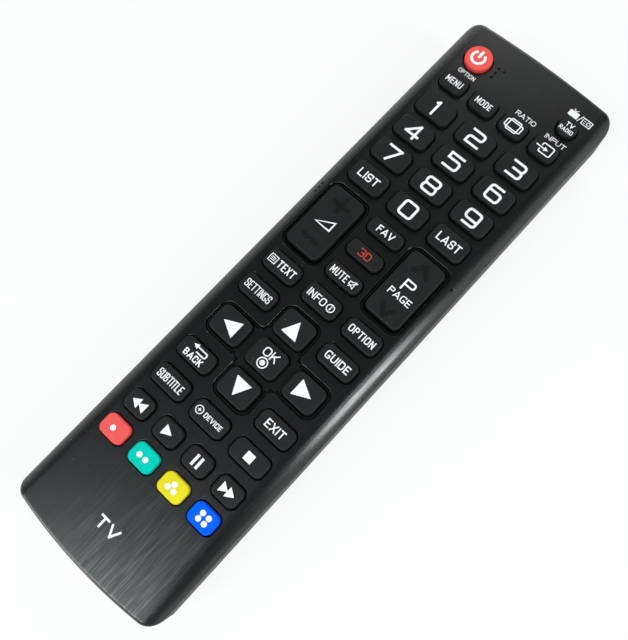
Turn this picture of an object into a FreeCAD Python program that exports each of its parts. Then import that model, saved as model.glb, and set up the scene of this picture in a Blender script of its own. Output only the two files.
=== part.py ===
import FreeCAD, Part
import math
import os

# A slim infrared remote control with forty-six keys, in millimetres.
# X runs to the right across the face, Y up the face to the infrared end, and Z out of the face.
# The origin is in the middle of the underside. The casing is a front shell and a rear shell that
# meet in a lap joint. Between them lie the keys, a rubber sheet, a circuit board and two cells
# under a cover that slides off the lower end.

Vector = FreeCAD.Vector

# How far a cutting form runs past what it cuts
spare = 1.0

# Stack through the thickness, from the table up
cover_recess = 0.15
cover_thickness = 1.5
cell_floor_gap = 0.25
cell_diameter = 10.5
cell_ceiling_gap = 0.3
bay_ceiling = 1.0
board_gap = 0.3
board_thickness = 1.2
sheet_thickness = 0.7
key_travel = 0.9
press_gap = 0.1
flange_thickness = 0.7
flange_gap = 0.1
wall = 1.8
key_height = 1.2

# Casing outline and edges
top_end_radius = 300.0
bottom_end_radius = 155.0
end_arc_parts = 8
corner_radius = 4.5
shoulder_radius = 4.1
belly_radius = 7.0
face_edge_radius = 1.2
face_margin = 0.05
heel_length = 12.5
heel_rise = 6.0
nose_length = 35.5
nose_rise = 5.5
parting_drop = 0.5
seam_depth = 0.3
seam_height = 0.5
lap_height = 1.0
lap_clearance = 0.1

# Openings in the face, width across X and height along Y
power_diameter = 8.6
source_diameter = 6.4
quad_width = 8.4
quad_height = 6.5
menu_land = 2.0
colour_land = 2.15
triple_width = 11.6
triple_land = 2.4
digit_height = 7.4
digit_land = 1.84
short_height = 5.2
short_land = 2.98
word_height = 6.35
rocker_width = 11.7
rocker_height = 21.6
rocker_recess_margin = 0.9
pad_width = 10.6
pad_height = 8.65
pad_land_x = 2.35
pad_land_y = 1.65
pad_recess_margin = 0.8
recess_depth = 0.45
power_x = -15.3
source_x = 16.4
source_drop = 1.1

# Gaps between the rows of openings, from the infrared end down
top_margin = 6.9
power_to_menu = 2.7
menu_to_digits = 2.7
digits_to_short = 2.65
short_to_word = 2.8
word_to_setting = 2.75
pad_row_gap = 3.9
back_to_subtitle = 2.95
subtitle_to_play = 3.0
play_to_colour = 1.95
bottom_margin = 25.95

# Keys
key_gap = 0.3
key_corner_radius = 1.8
key_edge_radius = 0.5
flange_reach = 0.7
plunger_diameter = 4.0
pill_diameter = 3.6
pill_thickness = 0.3
contact_clearance = 0.15
sheet_hole_gap = 0.4
rocker_end_gap = 0.5
rocker_tilt = 4.5
rocker_pill_y = 7.5
rocker_flange_half = 4.0
fulcrum_radius = 0.75
fulcrum_gap = 0.05
fulcrum_inset = 1.0
mark_height = 0.25
mark_length = 5.3
mark_width = 0.9
mark_offset = 6.2
arrow_bar_length = 3.25
arrow_slope = 52.0
arrow_offset = 7.25
arrow_drop = 0.45
recess_corner_radius = 3.0
recess_inner_radius = 1.5
rim_radius = 0.2

# Raised touch marks
dot_radius = 0.4
dot_height = 0.28
power_dot_pitch = 1.75
power_dot_gap = 1.8
shoulder_dot_pitch = 1.45
shoulder_dot_x = 1.75

# Board, sheet and what holds them
board_side_gap = 0.4
peg_diameter = 1.8
post_diameter = 4.0
post_inset = 9.0
hook_height = 0.3
hook_length = 6.0
hook_thickness = 0.4
hook_rise = 0.2
hook_clearance = 0.1

# Infrared lamp
lamp_diameter = 5.0
lamp_hole_gap = 0.1
lamp_rim = 0.4
lamp_rim_length = 1.0
lamp_length = 8.2
lamp_tip_inset = 0.2
lamp_lead = 0.5
lamp_lead_x = 1.27
lamp_lead_overlap = 4.0
lamp_notch_gap = 1.0

# Battery bay, two cells side by side
cell_length = 44.5
cell_nub_diameter = 3.8
cell_nub_length = 1.0
cell_edge_radius = 0.4
cell_spacing = 0.4
cell_side_gap = 0.6
bay_wall = 1.4
bay_end_margin = 33.4
plate_thickness = 0.4
plate_width = 8.8
plate_height = 8.0
tab_width = 2.0
tab_slot_gap = 0.3
spring_length = 4.8
spring_wire = 0.6
spring_base_radius = 3.6
spring_tip_radius = 2.2
spring_turns = 4

# Battery cover and the rails that it slides on
cover_overlap_y = 4.0
cover_overlap_x = 2.8
cover_side_gap = 0.2
cover_end_lip = 0.5
rail_width = 1.0
rail_thickness = 0.8
rail_gap = 0.15
latch_width = 12.0
latch_reach = 1.5
ledge_thickness = 1.2
ledge_margin = 3.0
grip_ribs = 6
grip_pitch = 2.2
grip_width = 15.0
grip_groove = 0.9
grip_depth = 0.4
grip_inset = 8.0

# Parts on the underside of the board
chip_size = 7.5
chip_length = 12.8
chip_thickness = 1.6
chip_standoff = 0.2
chip_leg_count = 10
chip_leg_width = 0.4
chip_leg_reach = 1.2
capacitor_diameter = 5.0
capacitor_length = 7.0
crystal_width = 3.4
crystal_length = 8.0
crystal_thickness = 2.4
crystal_edge_radius = 1.4
transistor_size = 3.0
transistor_thickness = 1.3
resistor_width = 1.6
resistor_length = 3.2
resistor_thickness = 0.6
resistor_pitch = 3.4

# Heights that follow from the stack
cover_top = cover_recess + cover_thickness
cell_z = cover_top + cell_floor_gap + cell_diameter / 2
bay_ceiling_z = cell_z + cell_diameter / 2 + cell_ceiling_gap
board_bottom = bay_ceiling_z + bay_ceiling + board_gap
board_top = board_bottom + board_thickness
sheet_top = board_top + sheet_thickness
flange_bottom = sheet_top + key_travel + press_gap
flange_top = flange_bottom + flange_thickness
ceiling_z = flange_top + flange_gap
face_z = ceiling_z + wall
key_top = face_z + key_height
recess_floor = face_z - recess_depth
parting_z = board_bottom - parting_drop
pill_bottom = board_top + key_travel + contact_clearance

# Width of the face and the casing, from the widest row of openings
triple_pitch = triple_width + triple_land
quad_reach = 1.5 * (quad_width + max(menu_land, colour_land)) + quad_width / 2 + flange_reach - key_gap
rocker_reach = triple_pitch + rocker_width / 2 + rocker_recess_margin
face_half_width = max(quad_reach, rocker_reach) + rim_radius + face_margin
half_width = face_half_width + shoulder_radius


def stack_rows():
    """Walk down the face and return each row's centre, from the infrared end, and the whole length."""
    rows = [
        ("power", top_margin, power_diameter),
        ("menu", power_to_menu, quad_height),
        ("digits_1", menu_to_digits, digit_height),
        ("digits_2", digit_land, digit_height),
        ("digits_3", digit_land, digit_height),
        ("digits_4", digit_land, digit_height),
        ("short_1", digits_to_short, short_height),
        ("short_2", short_land, short_height),
        ("short_3", short_land, short_height),
        ("word", short_to_word, word_height),
        ("setting", word_to_setting, word_height),
        ("pad", pad_row_gap, pad_height),
        ("back", pad_row_gap, word_height),
        ("subtitle", back_to_subtitle, word_height),
        ("play", subtitle_to_play, quad_height),
        ("colour", play_to_colour, quad_height),
    ]
    depth = 0.0
    centres = {}
    for name, gap, height in rows:
        centres[name] = depth + gap + height / 2
        depth += gap + height
    return centres, depth + bottom_margin


row_depths, body_length = stack_rows()
half_length = body_length / 2
row_y = {name: half_length - depth for name, depth in row_depths.items()}
pad_step_x = pad_width + pad_land_x
pad_step_y = pad_height + pad_land_y
lamp_back_y = half_length - lamp_tip_inset - lamp_length


def row_of_openings(names, y, width, height, land):
    """Openings of one size spread evenly about the middle; a name of None leaves its place empty."""
    pitch = width + land
    first = -pitch * (len(names) - 1) / 2
    return {name: (first + i * pitch, y, width, height) for i, name in enumerate(names) if name}


def all_openings():
    """Every key's opening in the face: its centre, width and height."""
    openings = {
        "key_power": (power_x, row_y["power"], power_diameter, power_diameter),
        "key_tv_radio": (source_x, row_y["power"] - source_drop, source_diameter, source_diameter),
    }
    menu = ["key_menu", "key_mode", "key_ratio", "key_input"]
    openings.update(row_of_openings(menu, row_y["menu"], quad_width, quad_height, menu_land))
    digits = [
        ["key_1", "key_2", "key_3"],
        ["key_4", "key_5", "key_6"],
        ["key_7", "key_8", "key_9"],
        ["key_list", "key_0", "key_last"],
    ]
    for i, names in enumerate(digits):
        y = row_y["digits_%d" % (i + 1)]
        openings.update(row_of_openings(names, y, triple_width, digit_height, triple_land))
    for i, name in enumerate(["key_favourite", "key_3d", "key_mute"]):
        openings[name] = (0.0, row_y["short_%d" % (i + 1)], triple_width, short_height)
    words = {
        "word": ["key_text", "key_info", "key_options"],
        "setting": ["key_settings", None, "key_guide"],
        "back": ["key_back", None, "key_exit"],
        "subtitle": ["key_subtitle", "key_device", "key_stop"],
    }
    for row, names in words.items():
        openings.update(row_of_openings(names, row_y[row], triple_width, word_height, triple_land))
    quads = {
        "play": ["key_rewind", "key_play", "key_pause", "key_forward"],
        "colour": ["key_red", "key_green", "key_yellow", "key_blue"],
    }
    for row, names in quads.items():
        openings.update(row_of_openings(names, row_y[row], quad_width, quad_height, colour_land))
    pad = {
        "key_up": (0, 1),
        "key_left": (-1, 0),
        "key_ok": (0, 0),
        "key_right": (1, 0),
        "key_down": (0, -1),
    }
    for name, (i, j) in pad.items():
        openings[name] = (i * pad_step_x, row_y["pad"] + j * pad_step_y, pad_width, pad_height)
    return openings


def rocker_openings():
    """The openings of the two rockers, either side of the middle column."""
    y = row_y["short_2"]
    return {
        "rocker_volume": (-triple_pitch, y, rocker_width, rocker_height),
        "rocker_page": (triple_pitch, y, rocker_width, rocker_height),
    }


def box(x_range, y_range, z_range):
    """A box between three pairs of limits."""
    lows = Vector(x_range[0], y_range[0], z_range[0])
    sizes = [high - low for low, high in (x_range, y_range, z_range)]
    return Part.makeBox(sizes[0], sizes[1], sizes[2], lows)


def centred_box(x, y, width, height, z_range):
    """A box about the point x, y."""
    return box((x - width / 2, x + width / 2), (y - height / 2, y + height / 2), z_range)


def rounded_box(x, y, width, height, radius, z_range):
    """An upright prism whose four corners are arcs; a square of full radius becomes a cylinder."""
    if radius >= min(width, height) / 2:
        return Part.makeCylinder(width / 2, z_range[1] - z_range[0], Vector(x, y, z_range[0]))
    prism = centred_box(x, y, width, height, z_range)
    return prism.makeFillet(radius, upright_edges(prism))


def upright_edges(shape):
    """The straight edges that stand along Z."""
    return [e for e in shape.Edges if len(e.Vertexes) == 2 and is_upright(e)]


def is_upright(edge):
    """Whether an edge's two ends lie above each other."""
    a, b = (v.Point for v in edge.Vertexes)
    return abs(a.x - b.x) < 1e-6 and abs(a.y - b.y) < 1e-6


def cylinder_y(radius, y_range, x, z):
    """A cylinder along Y between two limits."""
    length = y_range[1] - y_range[0]
    return Part.makeCylinder(radius, length, Vector(x, y_range[0], z), Vector(0, 1, 0))


def arcs_about(centre, radius, start, finish, parts):
    """An arc from one angle to another, counted from X, as parts of equal length."""
    circle = Part.Circle(centre, Vector(0, 0, 1), radius)
    stops = [start + (finish - start) * i / parts for i in range(parts + 1)]
    return [Part.ArcOfCircle(circle, low, high).toShape() for low, high in zip(stops, stops[1:])]


def plan_prism(inset, z_range):
    """The outline seen from the front, or inset by a constant: two bowed ends and round corners."""
    hw = half_width - inset
    hl = half_length - inset
    corner = corner_radius - inset
    across = hw - corner
    edges = []
    flank_y = []
    for sign, radius in ((1, top_end_radius - inset), (-1, bottom_end_radius - inset)):
        lean = math.asin(across / (radius - corner))
        centre_y = sign * (hl - radius)
        corner_y = centre_y + sign * (radius - corner) * math.cos(lean)
        ahead = sign * math.pi / 2
        middle = Vector(0, centre_y, z_range[0])
        edges += arcs_about(middle, radius, ahead - lean, ahead + lean, end_arc_parts)
        right = sorted((0, ahead - sign * lean))
        left = sorted((2 * ahead, ahead + sign * lean))
        edges += arcs_about(Vector(across, corner_y, z_range[0]), corner, right[0], right[1], 1)
        edges += arcs_about(Vector(-across, corner_y, z_range[0]), corner, left[0], left[1], 1)
        flank_y.append(corner_y)
    for x in (-hw, hw):
        top, bottom = (Vector(x, y, z_range[0]) for y in flank_y)
        edges.append(Part.LineSegment(bottom, top).toShape())
    outline = Part.Face(Part.Wire(Part.__sortEdges__(edges)))
    return outline.extrude(Vector(0, 0, z_range[1] - z_range[0]))


def section_prism(inset):
    """The cross-section along the length: flat face, round shoulders, upright sides, round belly edges."""
    hw = half_width - inset
    low = inset
    high = face_z - inset
    shoulder = shoulder_radius - inset
    belly = belly_radius - inset
    start = -half_length - spare
    corners = [
        (hw, low, belly, 1, -1),
        (hw, high, shoulder, 1, 1),
        (-hw, high, shoulder, -1, 1),
        (-hw, low, belly, -1, -1),
    ]
    turn = math.sqrt(0.5)
    edges = []
    points = []
    for x, z, radius, sx, sz in corners:
        centre = Vector(x - sx * radius, start, z - sz * radius)
        across = centre + Vector(sx * radius, 0, 0)
        along = centre + Vector(0, 0, sz * radius)
        middle = centre + Vector(sx * radius * turn, 0, sz * radius * turn)
        first, last = (along, across) if sx * sz < 0 else (across, along)
        points.append((first, last))
        edges.append(Part.Arc(first, middle, last).toShape())
    for i, (first, last) in enumerate(points):
        edges.append(Part.LineSegment(last, points[(i + 1) % 4][0]).toShape())
    profile = Part.Face(Part.Wire(Part.__sortEdges__(edges)))
    return profile.extrude(Vector(0, body_length + 2 * spare, 0))


def turned_end(sign, end_radius, run, rise, inset):
    """A solid of revolution about the end arc's centre, whose underside rises to the end in one arc."""
    centre = Vector(0, sign * (half_length - end_radius), 0)
    reach = end_radius - inset
    arc_radius = (run * run + rise * rise) / (2 * rise)
    arc_x = end_radius - run
    inner = arc_radius - inset
    top = face_z + spare

    def at(radial, z):
        return centre + Vector(0, sign * radial, z)

    def on_arc(radial):
        return at(radial, arc_radius - math.sqrt(inner ** 2 - (radial - arc_x) ** 2))

    start = on_arc(arc_x)
    finish = on_arc(reach)
    edges = [
        Part.LineSegment(at(0, inset), start).toShape(),
        Part.Arc(start, on_arc((arc_x + reach) / 2), finish).toShape(),
        Part.LineSegment(finish, at(reach, top)).toShape(),
        Part.LineSegment(at(reach, top), at(0, top)).toShape(),
        Part.LineSegment(at(0, top), at(0, inset)).toShape(),
    ]
    return Part.Face(Part.Wire(edges)).revolve(centre, Vector(0, 0, 1), 360)


def is_face_end_edge(edge):
    """Whether an edge bounds the face at one of the two ends, around the corners included."""
    b = edge.BoundBox
    at_end = min(abs(b.YMin), abs(b.YMax)) > half_length - 2 * corner_radius
    return b.ZMin > face_z - shoulder_radius - 0.01 and at_end and b.YLength < 2 * corner_radius


def envelope(inset):
    """The casing's outer form, or the same form a constant distance inside it."""
    solid = plan_prism(inset, (inset, face_z - inset)).common(section_prism(inset))
    if inset == 0:
        solid = solid.makeFillet(face_edge_radius, [e for e in solid.Edges if is_face_end_edge(e)])
    solid = solid.common(turned_end(1, top_end_radius, nose_length, nose_rise, inset))
    return solid.common(turned_end(-1, bottom_end_radius, heel_length, heel_rise, inset))


outer_form = envelope(0)
cavity_form = envelope(wall)
shell_form = outer_form.cut(cavity_form)


def outline_ring(outer_inset, inner_inset, z_range):
    """A ring that follows the outline, between two insets."""
    return plan_prism(outer_inset, z_range).cut(plan_prism(inner_inset, z_range))


def lamp_hole():
    """The round hole through the infrared end, half in each shell."""
    radius = lamp_diameter / 2 + lamp_hole_gap
    return cylinder_y(radius, (lamp_back_y + lamp_rim_length, half_length + spare), 0, parting_z)


def hook_places():
    """The snap hooks along both sides: side sign and centre along Y."""
    rows = ["menu", "digits_3", "word", "back", "colour"]
    return [(side, row_y[row]) for side in (-1, 1) for row in rows]


def hook_box(side, y, growth):
    """A hook's block, or with growth the pocket that it snaps into."""
    outer = half_width - wall / 2 - lap_clearance / 2 + hook_height + growth
    inner = half_width - wall / 2 - lap_clearance / 2 - hook_thickness
    low = parting_z - lap_height + hook_rise - growth
    x_range = (inner, outer) if side > 0 else (-outer, -inner)
    half = hook_length / 2 + growth
    return box(x_range, (y - half, y + half), (low, low + hook_thickness + 2 * growth))


def key_hole(opening, z_range):
    """The prism of a key's opening through the face."""
    x, y, width, height = opening
    radius = width / 2 if is_round(opening) else key_corner_radius + key_gap
    return rounded_box(x, y, width, height, radius, z_range)


def is_round(opening):
    """The power and the source key are round: their width and height are one diameter."""
    return opening[2] == opening[3]


def rocker_recess(opening):
    """The shallow step in the face round a rocker."""
    x, y, width, height = opening
    margin = 2 * rocker_recess_margin
    z_range = (recess_floor, face_z + spare)
    return rounded_box(x, y, width + margin, height + margin, recess_corner_radius, z_range)


def pad_recess():
    """The plus-shaped step in the face round the five direction keys."""
    y = row_y["pad"]
    z_range = (recess_floor, face_z + spare)
    arm_width = pad_width + 2 * pad_recess_margin
    arm_height = pad_height + 2 * pad_recess_margin
    long_x = arm_width + 2 * pad_step_x
    long_y = arm_height + 2 * pad_step_y
    upright = rounded_box(0, y, arm_width, long_y, recess_corner_radius, z_range)
    across = rounded_box(0, y, long_x, arm_height, recess_corner_radius, z_range)
    plus = upright.fuse(across).removeSplitter()
    inner = [
        e for e in upright_edges(plus)
        if abs(abs(e.Vertexes[0].X) - arm_width / 2) < 0.01
        and abs(abs(e.Vertexes[0].Y - y) - arm_height / 2) < 0.01
    ]
    return plus.makeFillet(recess_inner_radius, inner)


def touch_dots():
    """The centres of the raised dots, in groups beside the power key and on both shoulders."""
    x = power_x + power_diameter / 2 + power_dot_gap
    step = power_dot_pitch
    y = row_y["power"] + step
    power = [(x, y), (x + step, y), (x, y - step), (x, y - 2 * step)]
    side_x = face_half_width + shoulder_dot_x
    side_y = row_y["short_1"]
    step = shoulder_dot_pitch
    left = [(-side_x, side_y - i * step) for i in range(3)] + [(step - side_x, side_y - 2 * step)]
    right = [(side_x - step, side_y), (side_x, side_y)]
    return power + left + right


def touch_dot(x, y):
    """One dot: a ball sunk into the face or the shoulder until only its cap stands out."""
    over = max(abs(x) - face_half_width, 0)
    rise = math.sqrt(shoulder_radius ** 2 - over ** 2)
    lift = dot_height - dot_radius
    centre_x = math.copysign(min(abs(x), face_half_width) + over * (1 + lift / shoulder_radius), x)
    centre_z = face_z - shoulder_radius + rise * (1 + lift / shoulder_radius)
    return Part.makeSphere(dot_radius, Vector(centre_x, y, centre_z))


def peg_places():
    """Where pegs under the face hold the sheet down: between the keys and beyond the end rows."""
    places = []
    for upper, lower in (("digits_1", "digits_2"), ("digits_2", "digits_3"), ("digits_3", "digits_4")):
        y = (row_y[upper] + row_y[lower]) / 2
        places += [(-triple_pitch / 2, y), (triple_pitch / 2, y)]
    y = (row_y["play"] + row_y["colour"]) / 2
    quad_pitch = quad_width + colour_land
    places += [(-quad_pitch, y), (0, y), (quad_pitch, y)]
    places.append((0, row_y["power"]))
    end_y = -half_length + bottom_margin / 2
    places += [(-post_inset, end_y), (post_inset, end_y)]
    return places


def front_shell():
    """The front shell before its rims are rounded, with the tongue, hooks, pegs and raised dots."""
    above = centred_box(0, 0, 4 * half_width, 2 * body_length, (parting_z, key_top + spare))
    shell = shell_form.common(above)
    seam = outline_ring(-spare, seam_depth, (parting_z - seam_height / 2, parting_z + seam_height / 2))
    tongue_out = wall / 2 + lap_clearance / 2
    tongue = outline_ring(tongue_out, wall, (parting_z - lap_height, parting_z + lap_height))
    peg_length = ceiling_z + wall / 2 - sheet_top
    radius = peg_diameter / 2
    pegs = [Part.makeCylinder(radius, peg_length, Vector(x, y, sheet_top)) for x, y in peg_places()]
    hooks = [hook_box(side, y, 0) for side, y in hook_places()]
    dots = [touch_dot(x, y) for x, y in touch_dots()]
    shell = shell.cut(seam).fuse([tongue] + pegs + hooks + dots)
    recesses = [rocker_recess(o) for o in rocker_openings().values()] + [pad_recess()]
    through = (ceiling_z - spare, face_z + spare)
    holes = [key_hole(o, through) for o in all_openings().values()]
    holes += [key_hole(o, through) for o in rocker_openings().values()]
    return shell.cut(recesses + holes + [lamp_hole()]).removeSplitter()


def face_rims(shell):
    """The rims of the recesses and openings where they meet the flat face."""
    rims = []
    low = row_y["colour"] - quad_height
    high = row_y["power"] + power_diameter
    for edge in shell.Edges:
        b = edge.BoundBox
        flat = abs(b.ZMin - face_z) < 1e-4 and abs(b.ZMax - face_z) < 1e-4
        inside = max(abs(b.XMin), abs(b.XMax)) < face_half_width - 0.01
        at_dot = any(math.hypot(b.Center.x - x, b.Center.y - y) < dot_radius for x, y in touch_dots())
        if flat and inside and b.YMin > low and b.YMax < high and not at_dot:
            rims.append(edge)
    return rims


def front_case():
    """The front shell with the rims of its recesses and openings rounded."""
    shell = front_shell()
    return shell.makeFillet(rim_radius, face_rims(shell))


bay_half = cell_diameter + cell_spacing / 2 + cell_side_gap
bay_length = 2 * plate_thickness + cell_length + spring_length
bay_bottom_y = -half_length + bay_end_margin
bay_top_y = bay_bottom_y + bay_length
cell_x = (cell_diameter + cell_spacing) / 2
cover_half = bay_half + bay_wall + cover_overlap_x
cover_top_y = bay_top_y + cover_overlap_y
cover_end_z = heel_rise + cover_end_lip
beyond_end = -half_length - spare


def tab_places():
    """Where the battery plates' tabs pass through the bay's ceiling: x, the end wall's y and its sign."""
    top = [(-cell_x, bay_top_y, 1), (cell_x, bay_top_y, 1)]
    bottom = [(-cell_x, bay_bottom_y, -1), (cell_x, bay_bottom_y, -1)]
    return top + bottom


def plate_range(y, sign):
    """A plate's extent along Y, against the bay's end wall at y."""
    return (y - plate_thickness, y) if sign > 0 else (y, y + plate_thickness)


def tab_slot(x, y, sign):
    """The slot in the bay's ceiling round one tab."""
    low, high = plate_range(y, sign)
    gap = tab_slot_gap
    z_range = (bay_ceiling_z - spare, bay_ceiling_z + bay_ceiling + spare)
    half = tab_width / 2 + gap
    return box((x - half, x + half), (low - gap, high + gap), z_range)


def post_places():
    """Posts under the board, beside the middle column and near the lower end."""
    x = half_width - post_inset
    end_y = -half_length + bottom_margin / 2
    return [(sign * x, y) for sign in (-1, 1) for y in (row_y["menu"], row_y["short_1"], end_y)]


def cover_pocket():
    """What is cut from the rear shell for the cover, its rails and its latch tongue."""
    half = cover_half + cover_side_gap
    top = cover_top_y + cover_side_gap
    plate = box((-half, half), (beyond_end, top), (-spare, cover_end_z + cover_side_gap))
    low = cover_top - rail_thickness - rail_gap
    rail_half = cover_half + rail_width + cover_side_gap
    rails = box((-rail_half, rail_half), (beyond_end, top), (low, wall))
    latch_half = latch_width / 2 + cover_side_gap
    latch = box((-latch_half, latch_half), (beyond_end, top + latch_reach), (low, wall))
    return plate.cut(cavity_form).fuse([rails, latch])


def ledge():
    """The inner skin above the cover, which follows the rounded heel."""
    half = cover_half + rail_width + ledge_margin
    high = cover_end_z + cover_side_gap + wall
    zone = box((-half, half), (beyond_end, cover_top_y + ledge_margin), (-spare, high))
    return cavity_form.cut(envelope(wall + ledge_thickness)).common(zone)


def bay_walls():
    """The four walls and the ceiling of the battery bay."""
    outer_half = bay_half + bay_wall
    y_range = (bay_bottom_y - bay_wall, bay_top_y + bay_wall)
    return box((-outer_half, outer_half), y_range, (wall, bay_ceiling_z + bay_ceiling))


def rear_case():
    """The rear shell with its battery bay, ledge, board posts and the rebate of the lap joint."""
    below = centred_box(0, 0, 4 * half_width, 2 * body_length, (-spare, parting_z))
    shell = shell_form.common(below)
    seam = outline_ring(-spare, seam_depth, (parting_z - seam_height / 2, parting_z + seam_height / 2))
    rebate_range = (parting_z - lap_height - lap_clearance, parting_z + spare)
    rebate = plan_prism(wall / 2 - lap_clearance / 2, rebate_range)
    pockets = [hook_box(side, y, hook_clearance) for side, y in hook_places()]
    shell = shell.cut([seam, rebate, cover_pocket()] + pockets)
    posts = [
        Part.makeCylinder(post_diameter / 2, board_bottom, Vector(x, y, 0)).common(cavity_form)
        for x, y in post_places()
    ]
    shell = shell.fuse([ledge(), bay_walls()] + posts)
    inside = box((-bay_half, bay_half), (bay_bottom_y, bay_top_y), (-spare, bay_ceiling_z))
    slots = [tab_slot(*place) for place in tab_places()]
    return shell.cut([inside, lamp_hole()] + slots).removeSplitter()


def battery_cover():
    """The sliding cover: a plate turned up round the heel, with side rails, a latch tongue and a grip."""
    form = envelope(cover_recess).cut(envelope(cover_top))
    zone = box((-cover_half, cover_half), (beyond_end, cover_top_y), (-spare, cover_end_z))
    plate = form.common(zone)
    rail_half = cover_half + rail_width
    low = cover_top - rail_thickness
    heel_start = -half_length + heel_length
    rails = box((-rail_half, rail_half), (heel_start, cover_top_y), (low, cover_top))
    latch = centred_box(0, cover_top_y, latch_width, 2 * latch_reach, (low, cover_top))
    grooves = []
    for i in range(grip_ribs):
        y = cover_top_y - grip_inset - i * grip_pitch
        grooves.append(centred_box(0, y, grip_width, grip_groove, (-spare, cover_recess + grip_depth)))
    return plate.fuse([rails, latch]).cut(grooves).removeSplitter()


def board_outline(z_range):
    """The outline shared by the board and the sheet, with a notch for the infrared lamp."""
    prism = plan_prism(wall + board_side_gap, z_range)
    half = lamp_diameter / 2 + lamp_rim + lamp_notch_gap
    notch = box((-half, half), (lamp_back_y - lamp_notch_gap, half_length), z_range)
    return prism.cut(notch)


def key_contact_places():
    """The centre of each carbon contact under the keys."""
    places = [(x, y) for x, y, width, height in all_openings().values()]
    for x, y, width, height in rocker_openings().values():
        places += [(x, y + rocker_pill_y), (x, y - rocker_pill_y)]
    return places


def keypad_sheet():
    """The rubber sheet over the board, with a hole under each key's plunger."""
    sheet = board_outline((board_top, sheet_top))
    radius = plunger_diameter / 2 + sheet_hole_gap
    holes = [
        Part.makeCylinder(radius, sheet_thickness + 2 * spare, Vector(x, y, board_top - spare))
        for x, y in key_contact_places()
    ]
    return sheet.cut(holes)


def circuit_board():
    """The printed circuit board."""
    return board_outline((board_bottom, board_top))


def key_body(opening, bottom, top, gap_x, gap_y):
    """A key's upright prism with its top edge rounded."""
    x, y, width, height = opening
    w = width - 2 * gap_x
    h = height - 2 * gap_y
    radius = w / 2 if is_round(opening) else key_corner_radius
    prism = rounded_box(x, y, w, h, radius, (bottom, top))
    rim = [e for e in prism.Edges if abs(e.BoundBox.ZMin - top) < 1e-4]
    return prism.makeFillet(key_edge_radius, rim)


def pressed_key(opening):
    """A key that slides straight in: cap, retaining flange and plunger, with its carbon pill apart."""
    x, y, width, height = opening
    cap = key_body(opening, flange_bottom, key_top, key_gap, key_gap)
    reach = 2 * (flange_reach - key_gap)
    radius = (width + reach) / 2 if is_round(opening) else key_corner_radius + flange_reach
    flange = rounded_box(x, y, width + reach, height + reach, radius, (flange_bottom, flange_top))
    pill_top = pill_bottom + pill_thickness
    plunger = Part.makeCylinder(plunger_diameter / 2, flange_top - pill_top, Vector(x, y, pill_top))
    pill = Part.makeCylinder(pill_diameter / 2, pill_thickness, Vector(x, y, pill_bottom))
    return Part.makeCompound([cap.fuse([flange, plunger]).removeSplitter(), pill])


def bar(x, y, length, width, angle, z_range):
    """A short straight bar about a point, turned in the plane of the face."""
    block = centred_box(x, y, length, width, z_range)
    block.rotate(Vector(x, y, 0), Vector(0, 0, 1), angle)
    return block


def rocker_marks(name, x, y):
    """The marks raised on a rocker: plus and minus, or an arrowhead pointing up and one pointing down."""
    z_range = (key_top - spare, key_top + mark_height)
    if name == "rocker_volume":
        marks = [bar(x, y + mark_offset, mark_length, mark_width, 0, z_range)]
        marks.append(bar(x, y + mark_offset, mark_length, mark_width, 90, z_range))
        marks.append(bar(x, y - mark_offset, mark_length, mark_width, 0, z_range))
        return marks
    shift = arrow_bar_length / 2 * math.cos(math.radians(arrow_slope))
    drawn = arrow_bar_length + mark_width
    marks = []
    for lean in (-1, 1):
        centre = y - arrow_drop + lean * arrow_offset
        for side in (-1, 1):
            slope = -side * lean * arrow_slope
            marks.append(bar(x + side * shift, centre, drawn, mark_width, slope, z_range))
    return marks


rocker_swing = math.sin(math.radians(rocker_tilt))
fulcrum_z = sheet_top + fulcrum_gap + fulcrum_radius


def rocker_key(name, opening):
    """A key that tilts about a ridge across its middle, with a carbon pill under each end."""
    x, y, width, height = opening
    half_w = width / 2 - key_gap
    half_h = height / 2 - rocker_end_gap
    bottom = sheet_top + half_h * rocker_swing + press_gap
    cap = key_body(opening, bottom, key_top, key_gap, rocker_end_gap)
    flange_high = ceiling_z - flange_gap - rocker_flange_half * rocker_swing
    flange_half = half_w + flange_reach
    flange = centred_box(
        x, y, 2 * flange_half, 2 * rocker_flange_half, (flange_high - flange_thickness, flange_high))
    ridge_half = half_w - fulcrum_inset
    ridge = Part.makeCylinder(
        fulcrum_radius, 2 * ridge_half, Vector(x - ridge_half, y, fulcrum_z), Vector(1, 0, 0))
    pill_reach = rocker_pill_y + plunger_diameter / 2
    low = board_top + pill_reach * rocker_swing + press_gap
    stems = []
    pills = []
    for sign in (-1, 1):
        end_y = y + sign * rocker_pill_y
        stem_low = low + pill_thickness
        stem_length = bottom + flange_thickness - stem_low
        stems.append(Part.makeCylinder(plunger_diameter / 2, stem_length, Vector(x, end_y, stem_low)))
        pills.append(Part.makeCylinder(pill_diameter / 2, pill_thickness, Vector(x, end_y, low)))
    rocker = cap.fuse([flange, ridge] + stems + rocker_marks(name, x, y)).removeSplitter()
    return Part.makeCompound([rocker] + pills)


def infrared_lamp():
    """The clear round lamp in the end wall, with a rim at its back and two leads under the board."""
    tip = half_length - lamp_tip_inset
    radius = lamp_diameter / 2
    body = cylinder_y(radius, (lamp_back_y, tip - radius), 0, parting_z)
    dome = Part.makeSphere(radius, Vector(0, tip - radius, parting_z))
    rim = cylinder_y(radius + lamp_rim, (lamp_back_y, lamp_back_y + lamp_rim_length), 0, parting_z)
    lamp = body.fuse([dome, rim]).removeSplitter()
    leads = []
    start = lamp_back_y - lamp_notch_gap - lamp_lead_overlap
    for sign in (-1, 1):
        x = sign * lamp_lead_x
        z_range = (board_bottom - lamp_lead, board_bottom)
        leads.append(box((x - lamp_lead / 2, x + lamp_lead / 2), (start, lamp_back_y), z_range))
    return Part.makeCompound([lamp] + leads)


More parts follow.
